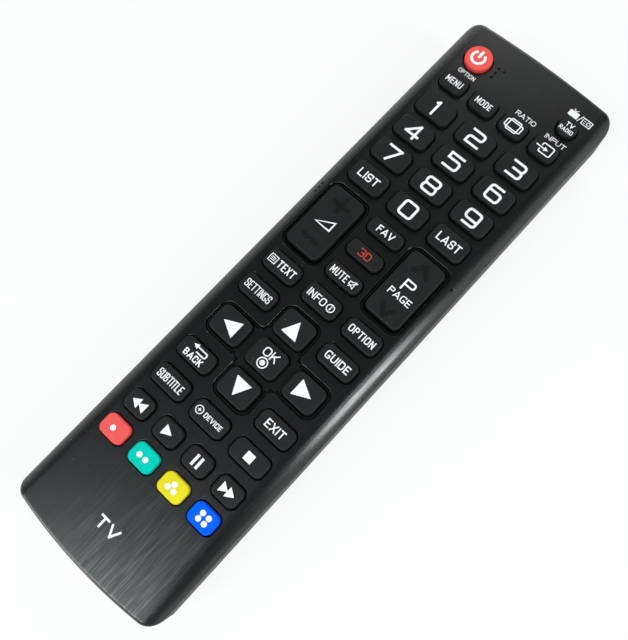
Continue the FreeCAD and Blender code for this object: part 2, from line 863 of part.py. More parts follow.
def battery_cells():
    """Two cells side by side, head to tail, each a can with its button."""
    cells = []
    for x, wall_y, sign in ((-cell_x, bay_top_y, 1), (cell_x, bay_bottom_y, -1)):
        tip = wall_y - sign * plate_thickness
        shoulder = tip - sign * cell_nub_length
        tail = tip - sign * cell_length
        can = cylinder_y(cell_diameter / 2, (min(shoulder, tail), max(shoulder, tail)), x, cell_z)
        rim = [e for e in can.Edges if e.Curve.TypeId == "Part::GeomCircle"]
        can = can.makeFillet(cell_edge_radius, rim)
        nub = cylinder_y(cell_nub_diameter / 2, (min(shoulder, tip), max(shoulder, tip)), x, cell_z)
        cells.append(can.fuse(nub))
    return Part.makeCompound(cells)


def battery_contacts():
    """The wide plate that joins the cells at the upper end, the two lower plates and their board tabs."""
    z_range = (cell_z - plate_height / 2, cell_z + plate_height / 2)
    low, high = plate_range(bay_top_y, 1)
    reach = cell_x + plate_width / 2
    plates = [box((-reach, reach), (low, high), z_range)]
    low, high = plate_range(bay_bottom_y, -1)
    for x in (-cell_x, cell_x):
        plates.append(box((x - plate_width / 2, x + plate_width / 2), (low, high), z_range))
    tabs = []
    for x, y, sign in tab_places():
        low, high = plate_range(y, sign)
        tabs.append(box((x - tab_width / 2, x + tab_width / 2), (low, high), (cell_z, board_bottom)))
    bridge = plates[0].fuse(tabs[:2]).removeSplitter()
    ends = [plate.fuse(tab).removeSplitter() for plate, tab in zip(plates[1:], tabs[2:])]
    return Part.makeCompound([bridge] + ends)


def arc_between(start, corner, finish):
    """The circular arc that leaves start towards corner and reaches finish along the line from corner."""
    chord_mid = (start + finish) * 0.5
    half_chord = (finish - start).Length / 2
    height = (corner - chord_mid).Length
    quarter = math.atan2(height, half_chord) / 2
    outward = (corner - chord_mid).normalize()
    return Part.Arc(start, chord_mid + outward * (half_chord * math.tan(quarter)), finish).toShape()


def biarc(start, start_dir, finish, finish_dir):
    """Two arcs that meet smoothly between two points with given directions."""
    gap = finish - start
    total = start_dir + finish_dir
    a = 2 * (1 - start_dir.dot(finish_dir))
    b = 2 * gap.dot(total)
    c = -gap.dot(gap)
    reach = (-b + math.sqrt(b * b - 4 * a * c)) / (2 * a)
    first = start + start_dir * reach
    last = finish - finish_dir * reach
    middle = (first + last) * 0.5
    return [arc_between(start, first, middle), arc_between(middle, last, finish)]


def coil_spring(x, base_y, sign):
    """A tapered spring from its plate to the cell, its wire along a helix made of quarter-turn biarcs."""
    radius = spring_wire / 2
    free = spring_length - spring_wire
    steps = 4 * spring_turns

    def place(step):
        share = step / steps
        coil = spring_base_radius + (spring_tip_radius - spring_base_radius) * share
        angle = step * math.pi / 2
        y = base_y - sign * (radius + free * share)
        return Vector(x + coil * math.cos(angle), y, cell_z + coil * math.sin(angle))

    def direction(step):
        return (place(step + 0.01) - place(step - 0.01)).normalize()

    edges = []
    for step in range(steps):
        edges += biarc(place(step), direction(step), place(step + 1), direction(step + 1))
    path = Part.Wire(edges)
    section = Part.Wire(Part.Circle(place(0), direction(0), radius).toShape())
    return path.makePipeShell([section], True, False)


def battery_springs():
    """The springs against the flat end of each cell."""
    lower = coil_spring(-cell_x, bay_bottom_y + plate_thickness, -1)
    upper = coil_spring(cell_x, bay_top_y - plate_thickness, 1)
    return Part.makeCompound([lower, upper])


chip_y = row_y["digits_4"]


def controller_chip():
    """The controller under the board, with a row of legs along each side."""
    low = board_bottom - chip_standoff - chip_thickness
    body = centred_box(0, chip_y, chip_size, chip_length, (low, low + chip_thickness))
    legs = []
    pitch = chip_length / chip_leg_count
    for sign in (-1, 1):
        edge = sign * chip_size / 2
        far = edge + sign * chip_leg_reach
        x_range = (min(edge, far), max(edge, far))
        for i in range(chip_leg_count):
            y = chip_y + (i - (chip_leg_count - 1) / 2) * pitch
            y_range = (y - chip_leg_width / 2, y + chip_leg_width / 2)
            legs.append(box(x_range, y_range, (low + chip_thickness / 2, board_bottom)))
    return Part.makeCompound([body] + legs)


def board_parts():
    """The other parts under the board: a can capacitor, a crystal, a transistor and four resistors."""
    top_y = row_y["digits_2"]
    radius = capacitor_diameter / 2
    x = triple_pitch / 2
    capacitor = cylinder_y(radius, (top_y, top_y + capacitor_length), x, board_bottom - radius)
    low = board_bottom - crystal_thickness
    y = top_y + crystal_length / 2
    z_range = (low, board_bottom)
    crystal = rounded_box(-x, y, crystal_width, crystal_length, crystal_edge_radius, z_range)
    low = board_bottom - transistor_thickness
    transistor = centred_box(0, row_y["menu"], transistor_size, transistor_size, (low, board_bottom))
    resistors = []
    low = board_bottom - resistor_thickness
    x = -triple_pitch
    for i in range(4):
        y = chip_y + (i - 1.5) * resistor_pitch
        resistors.append(centred_box(x, y, resistor_length, resistor_width, (low, board_bottom)))
    return Part.makeCompound([capacitor, crystal, transistor] + resistors)


def build_parts():
    """Every sub-part under its node's name."""
    parts = {
        "front_case": front_case(),
        "rear_case": rear_case(),
        "battery_cover": battery_cover(),
        "keypad_sheet": keypad_sheet(),
        "circuit_board": circuit_board(),
        "controller_chip": controller_chip(),
        "board_parts": board_parts(),
        "infrared_lamp": infrared_lamp(),
        "battery_cells": battery_cells(),
        "battery_contacts": battery_contacts(),
        "battery_springs": battery_springs(),
    }
    for name, opening in all_openings().items():
        parts[name] = pressed_key(opening)
    for name, opening in rocker_openings().items():
        parts[name] = rocker_key(name, opening)
    return parts


os.makedirs("parts", exist_ok=True)
for node, shape in build_parts().items():
    print(node, "solids", len(shape.Solids), "valid", shape.isValid(), "volume", round(shape.Volume, 2))
    shape.exportStep("parts/" + node + ".step")
whole_height = key_top + mark_height
print("length", round(body_length, 2), "width", round(2 * half_width, 2), "height", round(whole_height, 2))
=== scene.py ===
import logging
import math
from dataclasses import dataclass, field
from enum import Enum
from functools import cache, cached_property, partialmethod
from typing import Iterable, Sequence

import bpy
import numpy as np
from mathutils import Matrix, Vector


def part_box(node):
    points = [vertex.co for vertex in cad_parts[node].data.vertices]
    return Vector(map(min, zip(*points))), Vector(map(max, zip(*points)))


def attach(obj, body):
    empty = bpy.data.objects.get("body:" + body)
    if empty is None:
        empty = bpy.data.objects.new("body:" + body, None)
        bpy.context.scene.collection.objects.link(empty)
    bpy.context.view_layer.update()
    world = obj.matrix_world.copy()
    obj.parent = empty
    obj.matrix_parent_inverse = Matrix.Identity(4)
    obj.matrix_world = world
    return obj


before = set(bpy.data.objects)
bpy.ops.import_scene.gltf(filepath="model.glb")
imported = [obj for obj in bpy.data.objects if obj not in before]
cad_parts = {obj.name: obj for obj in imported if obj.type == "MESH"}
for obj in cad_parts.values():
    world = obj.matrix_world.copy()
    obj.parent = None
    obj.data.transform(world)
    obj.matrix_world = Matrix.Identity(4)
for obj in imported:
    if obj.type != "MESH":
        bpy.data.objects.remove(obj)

# The looks of a television remote control: finishes for the moulded, rubber, metal and board
# pieces, the white printing on the keys and the face, the marks on the cells, and a plain studio.
# Lengths inside the classes are millimetres in the frame of the model: X across the face, Y up
# the face, Z out of it. They become metres where a mesh or a node is written.
# A noise is written as its features along a millimetre, its finer layers, the two values between
# which it runs from 0 to 1, and a further scale for each axis; the last three may be left out.

LOG = logging.getLogger("remote")
MM = 0.001
FACE_Z = 19.5
INK_LIFT = 0.004
LETTER_GAP = 0.16
NARROWEST = 0.6
TIGHTER = 0.75
Point = tuple[float, float]
Triple = tuple[float, float, float]
Noise = tuple[float | Triple, ...]


def linear(red: int, green: int, blue: int) -> Triple:
    """Turn a screen colour into linear light.

    Args:
        red: Its red, from 0 to 255.
        green: Its green.
        blue: Its blue.

    Returns:
        The three shares of light, from 0 to 1.
    """
    share = np.array([red, green, blue]) / 255.0
    low = share / 12.92
    high = ((share + 0.055) / 1.055) ** 2.4
    return tuple(float(v) for v in np.where(share <= 0.04045, low, high))


def scaled(colour: Triple, factor: float) -> Triple:
    """A colour times a factor, with no channel above 1."""
    return tuple(min(1.0, factor * c) for c in colour)


def soften(points: np.ndarray, soft: np.ndarray, closed: bool, steps: int = 7) -> np.ndarray:
    """Turn the corners of a line into curves.

    Each corner P becomes the parabola (1-t)^2 A + 2t(1-t) P + t^2 B, where A and B lie on the two
    runs beside it, at the corner's softness or at half a run, whichever is less.

    Args:
        points: Corners, one per row.
        soft: How far from each corner its curve begins.
        closed: Whether the last corner joins the first.
        steps: Points along each curve.

    Returns:
        The points of the softened line.
    """
    back = np.roll(points, 1, axis=0) - points
    ahead = np.roll(points, -1, axis=0) - points
    back_length = np.linalg.norm(back, axis=1)
    ahead_length = np.linalg.norm(ahead, axis=1)
    cut = np.minimum(soft, 0.499 * np.minimum(back_length, ahead_length))
    start = points + back * (cut / back_length)[:, None]
    finish = points + ahead * (cut / ahead_length)[:, None]
    t = np.linspace(0.0, 1.0, steps)[None, :, None]
    curves = (1 - t) ** 2 * start[:, None] + 2 * t * (1 - t) * points[:, None] + t ** 2 * finish[:, None]
    if closed:
        line = curves.reshape(-1, 2)
    else:
        line = np.vstack([points[:1], curves[1:-1].reshape(-1, 2), points[-1:]])
    gap = np.linalg.norm(np.diff(line, axis=0), axis=1)
    return line[np.concatenate([[True], gap > 1e-4])]


def sharp_runs(points: np.ndarray) -> list[tuple[slice, Point]]:
    """Part an open line where it turns back by more than about 95 degrees.

    A run's end reaches on by half a stroke where nothing follows it, where the run is level or
    upright there, or where both runs at the corner lean.

    Args:
        points: Corners, one per row.

    Returns:
        For each run: its points as a slice, and 1 or 0 for the reach of its start and its end.
    """
    step = np.diff(points, axis=0)
    ahead = step / np.linalg.norm(step, axis=1)[:, None]
    square = np.abs(ahead).max(axis=1) > 0.999
    turned = np.flatnonzero((ahead[:-1] * ahead[1:]).sum(axis=1) < -0.1) + 1
    stops = [0, *turned.tolist(), len(points) - 1]
    runs = []
    for low, high in zip(stops, stops[1:]):
        start = 1.0 if low == 0 or square[low] or not square[low - 1] else 0.0
        end = 1.0 if high == len(points) - 1 or square[high - 1] or not square[high] else 0.0
        runs.append((slice(low, high + 1), (start, end)))
    return runs


@dataclass
class Artwork:
    """Flat printing, gathered as thin closed plates and strokes in millimetres.

    Attributes:
        top: How far the ink stands above the surface it lies on.
        sink: How far it reaches below that surface.
        vertices: The points of each form drawn so far.
        faces: The faces of all of them.
        count: How many points there are.
    """

    top: float = 0.02
    sink: float = 0.01
    vertices: list[np.ndarray] = field(default_factory=list)
    faces: list[tuple[int, ...]] = field(default_factory=list)
    count: int = 0

    def next_top(self) -> float:
        """The next form's height: four heights in turn, so forms that cross share no plane."""
        return self.top + INK_LIFT * (len(self.vertices) % 4)

    def add(self, vertices: np.ndarray, faces: Iterable[Sequence[int]]) -> None:
        """Add one closed form.

        Args:
            vertices: Its points, one per row.
            faces: Its faces, which count from its own first point.
        """
        self.faces += [tuple(int(i) + self.count for i in face) for face in faces]
        self.vertices.append(vertices)
        self.count += len(vertices)

    def stroke(
        self,
        points: Sequence[Point] | np.ndarray,
        width: float,
        soft: float | np.ndarray = 0.0,
        closed: bool = False,
        reach: Point = (0.0, 0.0),
    ) -> None:
        """Draw a line of even width.

        At each point of the softened line, its left and right edges stand half a width away along
        the normal, and further at a corner by one over the cosine of half the turn. The line is a
        grid of four edges along its points.

        Args:
            points: The corners of the line's middle.
            width: The line's width.
            soft: How far from each corner its curve begins, for all or for each.
            closed: Whether the line joins its own start.
            reach: How far an open line runs on beyond its start and its end.
        """
        top = self.next_top()
        corners = np.asarray(points, float)
        line = soften(corners, np.broadcast_to(soft, len(corners)).astype(float), closed)
        step = np.roll(line, -1, axis=0) - line
        if not closed:
            step[-1] = step[-2]
        ahead = step / np.linalg.norm(step, axis=1)[:, None]
        back = np.roll(ahead, 1, axis=0)
        if not closed:
            back[0] = ahead[0]
            line[0] -= ahead[0] * reach[0]
            line[-1] += ahead[-1] * reach[1]
        along = ahead + back
        along /= np.linalg.norm(along, axis=1)[:, None]
        side = np.column_stack([-along[:, 1], along[:, 0]])
        aside = 0.5 * width / np.clip((along * ahead).sum(axis=1), 0.6, 1.0)
        left = line + side * aside[:, None]
        right = line - side * aside[:, None]
        edges = [(left, top), (right, top), (right, -self.sink), (left, -self.sink)]
        ring = np.stack([np.column_stack([edge, np.full(len(line), z)]) for edge, z in edges], axis=1)
        count = len(line)
        i = np.arange(count if closed else count - 1)[:, None]
        k = np.arange(4)[None, :]
        j = (i + 1) % count
        m = (k + 1) % 4
        corners = np.broadcast_arrays(4 * i + k, 4 * i + m, 4 * j + m, 4 * j + k)
        faces = [tuple(quad) for quad in np.stack(corners, axis=-1).reshape(-1, 4)]
        if not closed:
            last = 4 * (count - 1)
            faces += [(0, 3, 2, 1), (last, last + 1, last + 2, last + 3)]
        self.add(ring.reshape(-1, 3), faces)

    def plate(self, outline: Sequence[Point] | np.ndarray, soft: float = 0.0) -> None:
        """Fill an outline: it is carried straight up from below the surface to the ink's top.

        Args:
            outline: The corners, in order either way round.
            soft: How far from each corner its curve begins.
        """
        corners = np.asarray(outline, float)
        line = soften(corners, np.full(len(corners), soft), True) if soft > 0 else corners
        x, y = line.T
        if np.sum(x * np.roll(y, -1) - y * np.roll(x, -1)) < 0:
            line = line[::-1]
        count = len(line)
        low = np.column_stack([line, np.full(count, -self.sink)])
        high = np.column_stack([line, np.full(count, self.next_top())])
        i = np.arange(count)
        j = (i + 1) % count
        faces = [tuple(q) for q in np.column_stack([i, j, j + count, i + count])]
        faces += [tuple(i + count), tuple(i[::-1])]
        self.add(np.vstack([low, high]), faces)

    def disc(self, centre: Point, radius: float, sides: int = 40) -> None:
        """Fill a circle, a closed outline at equal angles."""
        turn = np.linspace(0.0, 2.0 * np.pi, sides, endpoint=False)
        self.plate(np.asarray(centre) + radius * np.column_stack([np.cos(turn), np.sin(turn)]))

    def arc(
        self, centre: Point, radius: float, width: float, start: float = 0.0, sweep: float = 360.0
    ) -> None:
        """Draw part of a circle, or all of it.

        Args:
            centre: The circle's centre.
            radius: The radius of the line's middle.
            width: The line's width.
            start: Where the arc starts, in degrees from X.
            sweep: How far it runs, in degrees.
        """
        whole = abs(sweep) >= 360.0
        turn = np.radians(start + np.linspace(0.0, sweep, 49, endpoint=not whole))
        line = np.asarray(centre) + radius * np.column_stack([np.cos(turn), np.sin(turn)])
        self.stroke(line, width, closed=whole)

    def word(
        self,
        text: str | Sequence[str],
        size: Point,
        weight: float,
        centre: Point = (0.0, 0.0),
        soft: float = 0.46,
        gap: float | None = None,
    ) -> None:
        """Draw a word with its outer width and height given.

        Args:
            text: Letters and digits, or the names of their glyphs.
            size: Its width and height over the ink.
            weight: The width of a stroke.
            centre: The middle of the word.
            soft: The softness of round corners, as a share of the letter's lesser side.
            gap: The room between the middle lines of two letters, or none for an even share.
        """
        height = size[1] - weight
        glyphs = [STROKE_LETTERS[letter] for letter in text]
        natural = sum(g.width for g in glyphs) * height
        gaps = len(glyphs) - 1
        if gap is None:
            gap = LETTER_GAP * height + weight
        stretch = (size[0] - weight - gap * gaps) / natural
        if stretch < NARROWEST:
            gap *= TIGHTER
            stretch = (size[0] - weight - gap * gaps) / natural
        x = centre[0] - (size[0] - weight) / 2
        y = centre[1] - height / 2
        for glyph in glyphs:
            across = glyph.width * height * stretch
            for points, rounds, closed in glyph.strokes():
                place = np.array([x, y]) + points * np.array([across, height])
                bends = rounds * soft * min(across or height, height)
                if closed:
                    self.stroke(place, weight, bends, closed=True)
                    continue
                for run, ends in sharp_runs(place):
                    reach = (ends[0] * weight / 2, ends[1] * weight / 2)
                    self.stroke(place[run], weight, bends[run], reach=reach)
            x += across + gap

    def mesh(self, name: str) -> bpy.types.Mesh:
        """Make the mesh of what was drawn, still about the drawing's own origin.

        Args:
            name: The mesh's name.

        Returns:
            The mesh, in metres.
        """
        vertices = np.vstack(self.vertices) * MM
        data = bpy.data.meshes.new(name)
        data.from_pydata(vertices.tolist(), [], self.faces)
        data.validate()
        return data


@dataclass(frozen=True)
class Glyph:
    """A letter or digit as lines on a grid of eight steps each way.

    Attributes:
        lines: Corners as pairs of steps, with r for a round corner; a slash parts two lines and a
            star closes one.
        width: The width of the middle lines as a share of their height.
    """

    lines: str
    width: float = 0.66

    def strokes(self) -> list[tuple[np.ndarray, np.ndarray, bool]]:
        """Read the lines.

        Returns:
            For each line: its corners from 0 to 1 each way, 1 where a corner is round and 0
            where it is sharp, and whether it is closed.
        """
        found = []
        for line in self.lines.split("/"):
            closed = line.endswith("*")
            tokens = line.rstrip("*").split()
            corners = np.array([[int(t[0]), int(t[1])] for t in tokens], float) / 8.0
            rounds = np.array([1.0 if t.endswith("r") else 0.0 for t in tokens])
            found.append((corners, rounds, closed))
        return found


STROKE_LETTERS = {
    "0": Glyph("00r 80r 88r 08r*", 0.95),
    "1": Glyph("07 48 40", 0.42),
    "2": Glyph("08 88r 84r 04r 00 80", 0.95),
    "3": Glyph("08 88r 84r 24/24 84r 80r 00", 0.95),
    "4": Glyph("82 02 68 60", 0.95),
    "5": Glyph("88 08 05 85r 80r 00", 0.95),
    "6": Glyph("78 08r 00r 80r 85r 45/05 45", 0.95),
    "7": Glyph("08 88 30", 0.95),
    "8": Glyph("00r 80r 84r 04r*/04r 84r 88r 08r*", 0.95),
    "9": Glyph("10 80r 88r 08r 03r 43/43 83", 0.95),
    "A": Glyph("00 48 80/12 72", 0.8),
    "B": Glyph("00 08 78r 74r 04/04 84r 80r 00"),
    "C": Glyph("86 88r 08r 00r 80r 82"),
    "D": Glyph("00 80r 88r 08*"),
    "E": Glyph("88 08 00 80/04 74", 0.56),
    "F": Glyph("88 08 00/04 74", 0.56),
    "G": Glyph("87 88r 08r 00r 80r 83 53"),
    "I": Glyph("00 08", 0.0),
    "K": Glyph("00 08/88 13/35 80"),
    "L": Glyph("08 00 80", 0.54),
    "M": Glyph("00 08 42 88 80", 0.8),
    "N": Glyph("00 08 80 88"),
    "O": Glyph("00r 80r 88r 08r*", 0.74),
    "P": Glyph("00 08 88r 84r 44/04 44"),
    "R": Glyph("00 08 88r 84r 44/04 44/44 80"),
    "S": Glyph("86 88r 08r 04r 84r 80r 00r 02"),
    "T": Glyph("08 88/48 40"),
    "U": Glyph("08 00r 80r 88"),
    "V": Glyph("08 40 88", 0.76),
    "X": Glyph("00 88/08 80"),
    "round 3": Glyph("07 08r 88r 84r 34/34 84r 80r 00r 01", 0.7),
}


class Value:
    """A node's output, with arithmetic that adds nodes to its tree.

    Args:
        graph: The tree that it is in.
        socket: The output's socket.
    """

    def __init__(self, graph: "Graph", socket: bpy.types.NodeSocket) -> None:
        self.graph = graph
        self.socket = socket

    def math(self, operation: str, *others: "Value | float") -> "Value":
        """Work out one step of arithmetic on this value and others."""
        return self.graph.node("Math", dict(enumerate((self, *others))), operation=operation)

    __add__ = partialmethod(math, "ADD")
    __sub__ = partialmethod(math, "SUBTRACT")
    __mul__ = partialmethod(math, "MULTIPLY")
    __lt__ = partialmethod(math, "LESS_THAN")
    __gt__ = partialmethod(math, "GREATER_THAN")
    __abs__ = partialmethod(math, "ABSOLUTE")
    least = partialmethod(math, "MINIMUM")
    most = partialmethod(math, "MAXIMUM")

    def vector(self, operation: str, other: Triple = (0.0, 0.0, 0.0), output: str = "Vector") -> "Value":
        """Work out one step of arithmetic on a place, with a fixed second place where it needs one."""
        return self.graph.node("VectorMath", {0: self, 1: other}, output, operation=operation)

    def axis(self, name: str) -> "Value":
        """One coordinate of a place or a direction."""
        return self.graph.node("SeparateXYZ", {0: self}, name)

    def band(self, low: float, high: float) -> "Value":
        """What lies between two limits, stretched to run from 0 to 1, with the rest clipped."""
        return self.graph.node("MapRange", {"Value": self, "From Min": low, "From Max": high})

    def between(self, low: float, high: float) -> "Value":
        """The number that runs from one limit to another as this value runs from 0 to 1."""
        return self.math("MULTIPLY_ADD", high - low, low)

    def blend(self, low: "Triple | Value", high: "Triple | Value") -> "Value":
        """A blend of two colours, with this value as the share of the second."""
        return self.graph.node("Mix", {6: low, 7: high, "Factor": self}, 2, data_type="RGBA")


class Graph:
    """A node tree and short ways to add to it.

    Args:
        tree: The tree of a material or of the world.
    """

    def __init__(self, tree: bpy.types.NodeTree) -> None:
        self.tree = tree

    def feed(self, target: bpy.types.NodeSocket, value: object) -> None:
        """Link a value to an input, or set the input to a number.

        Args:
            target: The input.
            value: A value in the tree, a number, a place, or a colour without its alpha.
        """
        if isinstance(value, Value):
            self.tree.links.new(value.socket, target)
        else:
            target.default_value = (*value, 1.0) if target.type == "RGBA" else value

    def node(
        self, kind: str, inputs: dict[str | int, object] | None = None, output: str | int = 0, **settings: str
    ) -> Value:
        """Add a node.

        Args:
            kind: Its type, without the part that all shader nodes share.
            inputs: What each input gets.
            output: Which output to take.
            settings: Its other settings.

        Returns:
            The output.
        """
        made = self.tree.nodes.new("ShaderNode" + kind)
        for name, value in settings.items():
            setattr(made, name, value)
        for slot, value in (inputs or {}).items():
            self.feed(made.inputs[slot], value)
        return Value(self, made.outputs[output])

    def show(self, output: str, share: Value, other: Value) -> None:
        """Send a share of another shader to an output node, beside the shader that feeds it now.

        Args:
            output: The output node's name.
            share: How much of the other shader shows, from 0 to 1.
            other: That shader.
        """
        surface = self.tree.nodes[output].inputs["Surface"]
        usual = Value(self, surface.links[0].from_socket)
        self.feed(surface, self.node("MixShader", {0: share, 1: usual, 2: other}))


@dataclass(frozen=True)
class Recipe(Graph):
    """A material and the way its nodes are made.

    Attributes:
        name: The material's name.
        colour: Its main colour.
    """

    name: str
    colour: Triple

    @cached_property
    def material(self) -> bpy.types.Material:
        """The material, begun when it is first asked for."""
        made = bpy.data.materials.new(self.name)
        made.use_nodes = True
        return made

    @property
    def tree(self) -> bpy.types.NodeTree:
        """The material's nodes."""
        return self.material.node_tree

    def paint(self) -> None:
        """Add the nodes, which for a plain finish is only the colour."""
        self.wire(Base_Color=self.colour)

    def wire(self, **values: object) -> None:
        """Feed the shader's own inputs.

        Args:
            values: What each of them gets, with underscores for spaces in its name.
        """
        shader = self.tree.nodes["Principled BSDF"]
        for name, value in values.items():
            self.feed(shader.inputs[name.replace("_", " ")], value)

    @cached_property
    def place(self) -> Value:
        """The place in millimetres."""
        metres = self.node("TexCoord", output="Object")
        return self.node("VectorMath", {0: metres, "Scale": 1.0 / MM}, operation="SCALE")

    @cached_property
    def up(self) -> Value:
        """How far the surface faces out of the remote's face: 1 flat, 0 upright."""
        return self.node("TexCoord", output="Normal").axis("Z")

    def noise(
        self,
        per_mm: float,
        detail: float,
        low: float = 0.0,
        high: float = 1.0,
        stretch: Triple = (1.0, 1.0, 1.0),
    ) -> Value:
        """Soft random values from 0 to 1, from the numbers that make up a noise."""
        inputs = {"Scale": per_mm, "Detail": detail, "Vector": self.place.vector("MULTIPLY", stretch)}
        return self.node("TexNoise", inputs, "Fac").band(low, high)

    def bump(self, height: Value, depth: float) -> None:
        """Raise the surface by a height from 0 to 1 times a depth in millimetres."""
        self.wire(Normal=self.node("Bump", {"Distance": depth * MM, "Height": height}))


@dataclass(frozen=True)
class BrushedPlastic(Recipe):
    """Black moulded plastic with fine hairlines along the face and smooth round shoulders, and painted shade
    in its grooves, along its steps and on its dots.

    Attributes:
        streak: The colour of the palest hairlines.
        painted_shade_colour: The colour of the painted shade in grooves, along the steps and on the touch
            dots.
        dust: The colour of a speck.
        fine: The noise of the single hairlines.
        coarse: The noise that gathers them.
        mean: How strong hairlines are on average, which is all that shows where they are unclear.
        unclear_x: Where they begin to be clear.
        clear_x: Where they are quite clear.
        faint_y: Above this, they are faintest.
        strong_y: Below this, they are strongest.
        face_half: Half the width of the flat face.
        shoulder: The radius of the round shoulders.
        face_reach: How far the face's grooves reach along Y.
        rim: How far below the face the painted shade on their walls begins.
        step: The depth of the steps round the rockers and the direction keys.
        step_corner: The radius of their corners.
        lip: How far from a step's wall the edges of its openings lie.
        rocker_half: Half the width and height of a rocker's step.
        upright_half: Half the width and height of the upright arm of the pad's step.
        across_half: The same of its other arm.
    """

    streak: Triple = linear(34, 38, 40)
    painted_shade_colour: Triple = linear(7, 8, 8)
    dust: Triple = linear(118, 122, 124)
    fine: Noise = (1.0, 1.0, 0.4, 0.64, (6.4, 0.14, 6.4))
    coarse: Noise = (1.0, 1.0, 0.4, 0.64, (1.5, 0.07, 1.5))
    mean: float = 0.34
    unclear_x: float = -13.0
    clear_x: float = 3.0
    faint_y: float = -46.0
    strong_y: float = -78.0
    face_half: float = 21.0
    shoulder: float = 4.1
    face_reach: float = 88.0
    rim: float = 0.13
    step: float = 0.45
    step_corner: float = 3.0
    lip: float = 0.42
    rocker_half: Point = (6.75, 11.7)
    upright_half: Point = (6.1, 15.425)
    across_half: Point = (19.05, 5.125)

    def hairlines(self, flat: Value) -> Value:
        """Noise drawn out along Y, strongest low on the face and to its right, and faint on the shoulders.

        Args:
            flat: 1 on the flat face and 0 elsewhere.

        Returns:
            How strong a hairline is at each place.
        """
        lines = self.noise(*self.fine) * self.noise(*self.coarse).between(0.3, 1.0)
        across = self.place.axis("X").band(self.unclear_x, self.clear_x)
        lines = (lines - self.mean) * across.between(0.25, 1.0) + self.mean
        low = self.place.axis("Y").band(self.faint_y, self.strong_y) * across.between(0.24, 0.58)
        return lines * (flat * (low - 0.22) + 0.3)

    def proud(self, side: Value) -> Value:
        """Find what stands above the face and its shoulders, the touch dots.

        A place's reach is its distance from the axis of the shoulder's arc, or above the face
        its height over that axis.

        Args:
            side: How far a place lies from the middle of the face.

        Returns:
            1 on the dots, which are painted dark as shade, and 0 elsewhere.
        """
        over = (side - self.face_half).most(0.0)
        lift = (self.place.axis("Z") - (FACE_Z - self.shoulder)).most(0.0)
        reach = (over * over + lift * lift).math("SQRT")
        return reach.band(self.shoulder + 0.03, self.shoulder + 0.1)

    def groove_shade(self, level: Value) -> Value:
        """1 on the walls of openings and recesses, below the face's own rims, where shade is painted, and 0
        elsewhere.
        """
        deep = (self.place.axis("Z") < FACE_Z - self.rim) * level.between(1.0, 0.0)
        return deep * (abs(self.place.axis("Y")) < self.face_reach)

    def rounded(self, key: str, half: Point) -> Value:
        """How far a place lies outside a rounded rectangle about a key's middle.

        The place is folded into one quarter and measured from the middle of the corner's arc:
        the distance from there less the corner's radius.

        Args:
            key: The key in the middle of the rectangle.
            half: Half its width and height.

        Returns:
            The distance, negative inside.
        """
        low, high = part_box(key)
        middle = (low + high) / 2 / MM
        core = (half[0] - self.step_corner, half[1] - self.step_corner, 0.0)
        flat = self.place.vector("MULTIPLY", (1.0, 1.0, 0.0)).vector("SUBTRACT", (middle.x, middle.y, 0.0))
        beyond = flat.vector("ABSOLUTE").vector("SUBTRACT", core).vector("MAXIMUM")
        return beyond.vector("LENGTH", output="Value") - self.step_corner

    def step_shade_lines(self) -> Value:
        """Find the lines of painted shade on the floor of the steps, along their walls and round the
        openings.

        The lip between two lines gets no painted shade. The pad's step is a cross of two rectangles, whose
        lines would cross near its inner corners. What lies further in than the lip there counts as on it.

        Returns:
            1 on the lines and 0 elsewhere.
        """
        upright = self.rounded("key_ok", self.upright_half)
        across = self.rounded("key_ok", self.across_half)
        corner = (abs(upright).most(abs(across)) < 1.1).between(-10.0 - self.lip, -self.lip)
        apart = upright.least(across).most(corner)
        for key in ("rocker_volume", "rocker_page"):
            apart = apart.least(self.rounded(key, self.rocker_half))
        off = abs(apart + self.lip)
        low = self.place.axis("Z") < FACE_Z - self.step + 0.12
        return off.band(0.06, 0.2) * (off < 0.55) * low

    def paint(self) -> None:
        """Hairlines mirror more than the plain face, and walls, grooves and dots less; these are also painted
        dark as shade, with the lines along the steps.
        """
        side = abs(self.place.axis("X"))
        inside = side.band(self.face_half + 0.6, self.face_half - 1.6)
        level = self.up.band(0.9, 0.98)
        flat = inside * level
        lines = self.hairlines(flat)
        # Painted shade: walls of openings and recesses, the touch dots and the lines along the steps darken
        # toward the shade colour and mirror less.
        painted_shade = self.groove_shade(level) * inside
        painted_shade = painted_shade.most(self.proud(side)).most(self.step_shade_lines())
        dusty = self.noise(2.2, 0.0, 0.865, 0.88).blend(lines.blend(self.colour, self.streak), self.dust)
        sheen = self.up.band(0.3, 0.75) * lines.between(0.54, 1.84) + 0.06
        self.wire(
            Base_Color=painted_shade.blend(dusty, self.painted_shade_colour),
            Roughness=(flat.between(0.65, 1.0) + lines * -0.5).between(0.2, 0.31),
            Specular_IOR_Level=sheen * painted_shade.between(1.0, 0.15),
            Anisotropic=flat.between(0.8, 0.0),
            Anisotropic_Rotation=0.25,
            Tangent=self.node("CombineXYZ", {"Y": 1.0}),
        )
        self.bump(lines, 0.003)


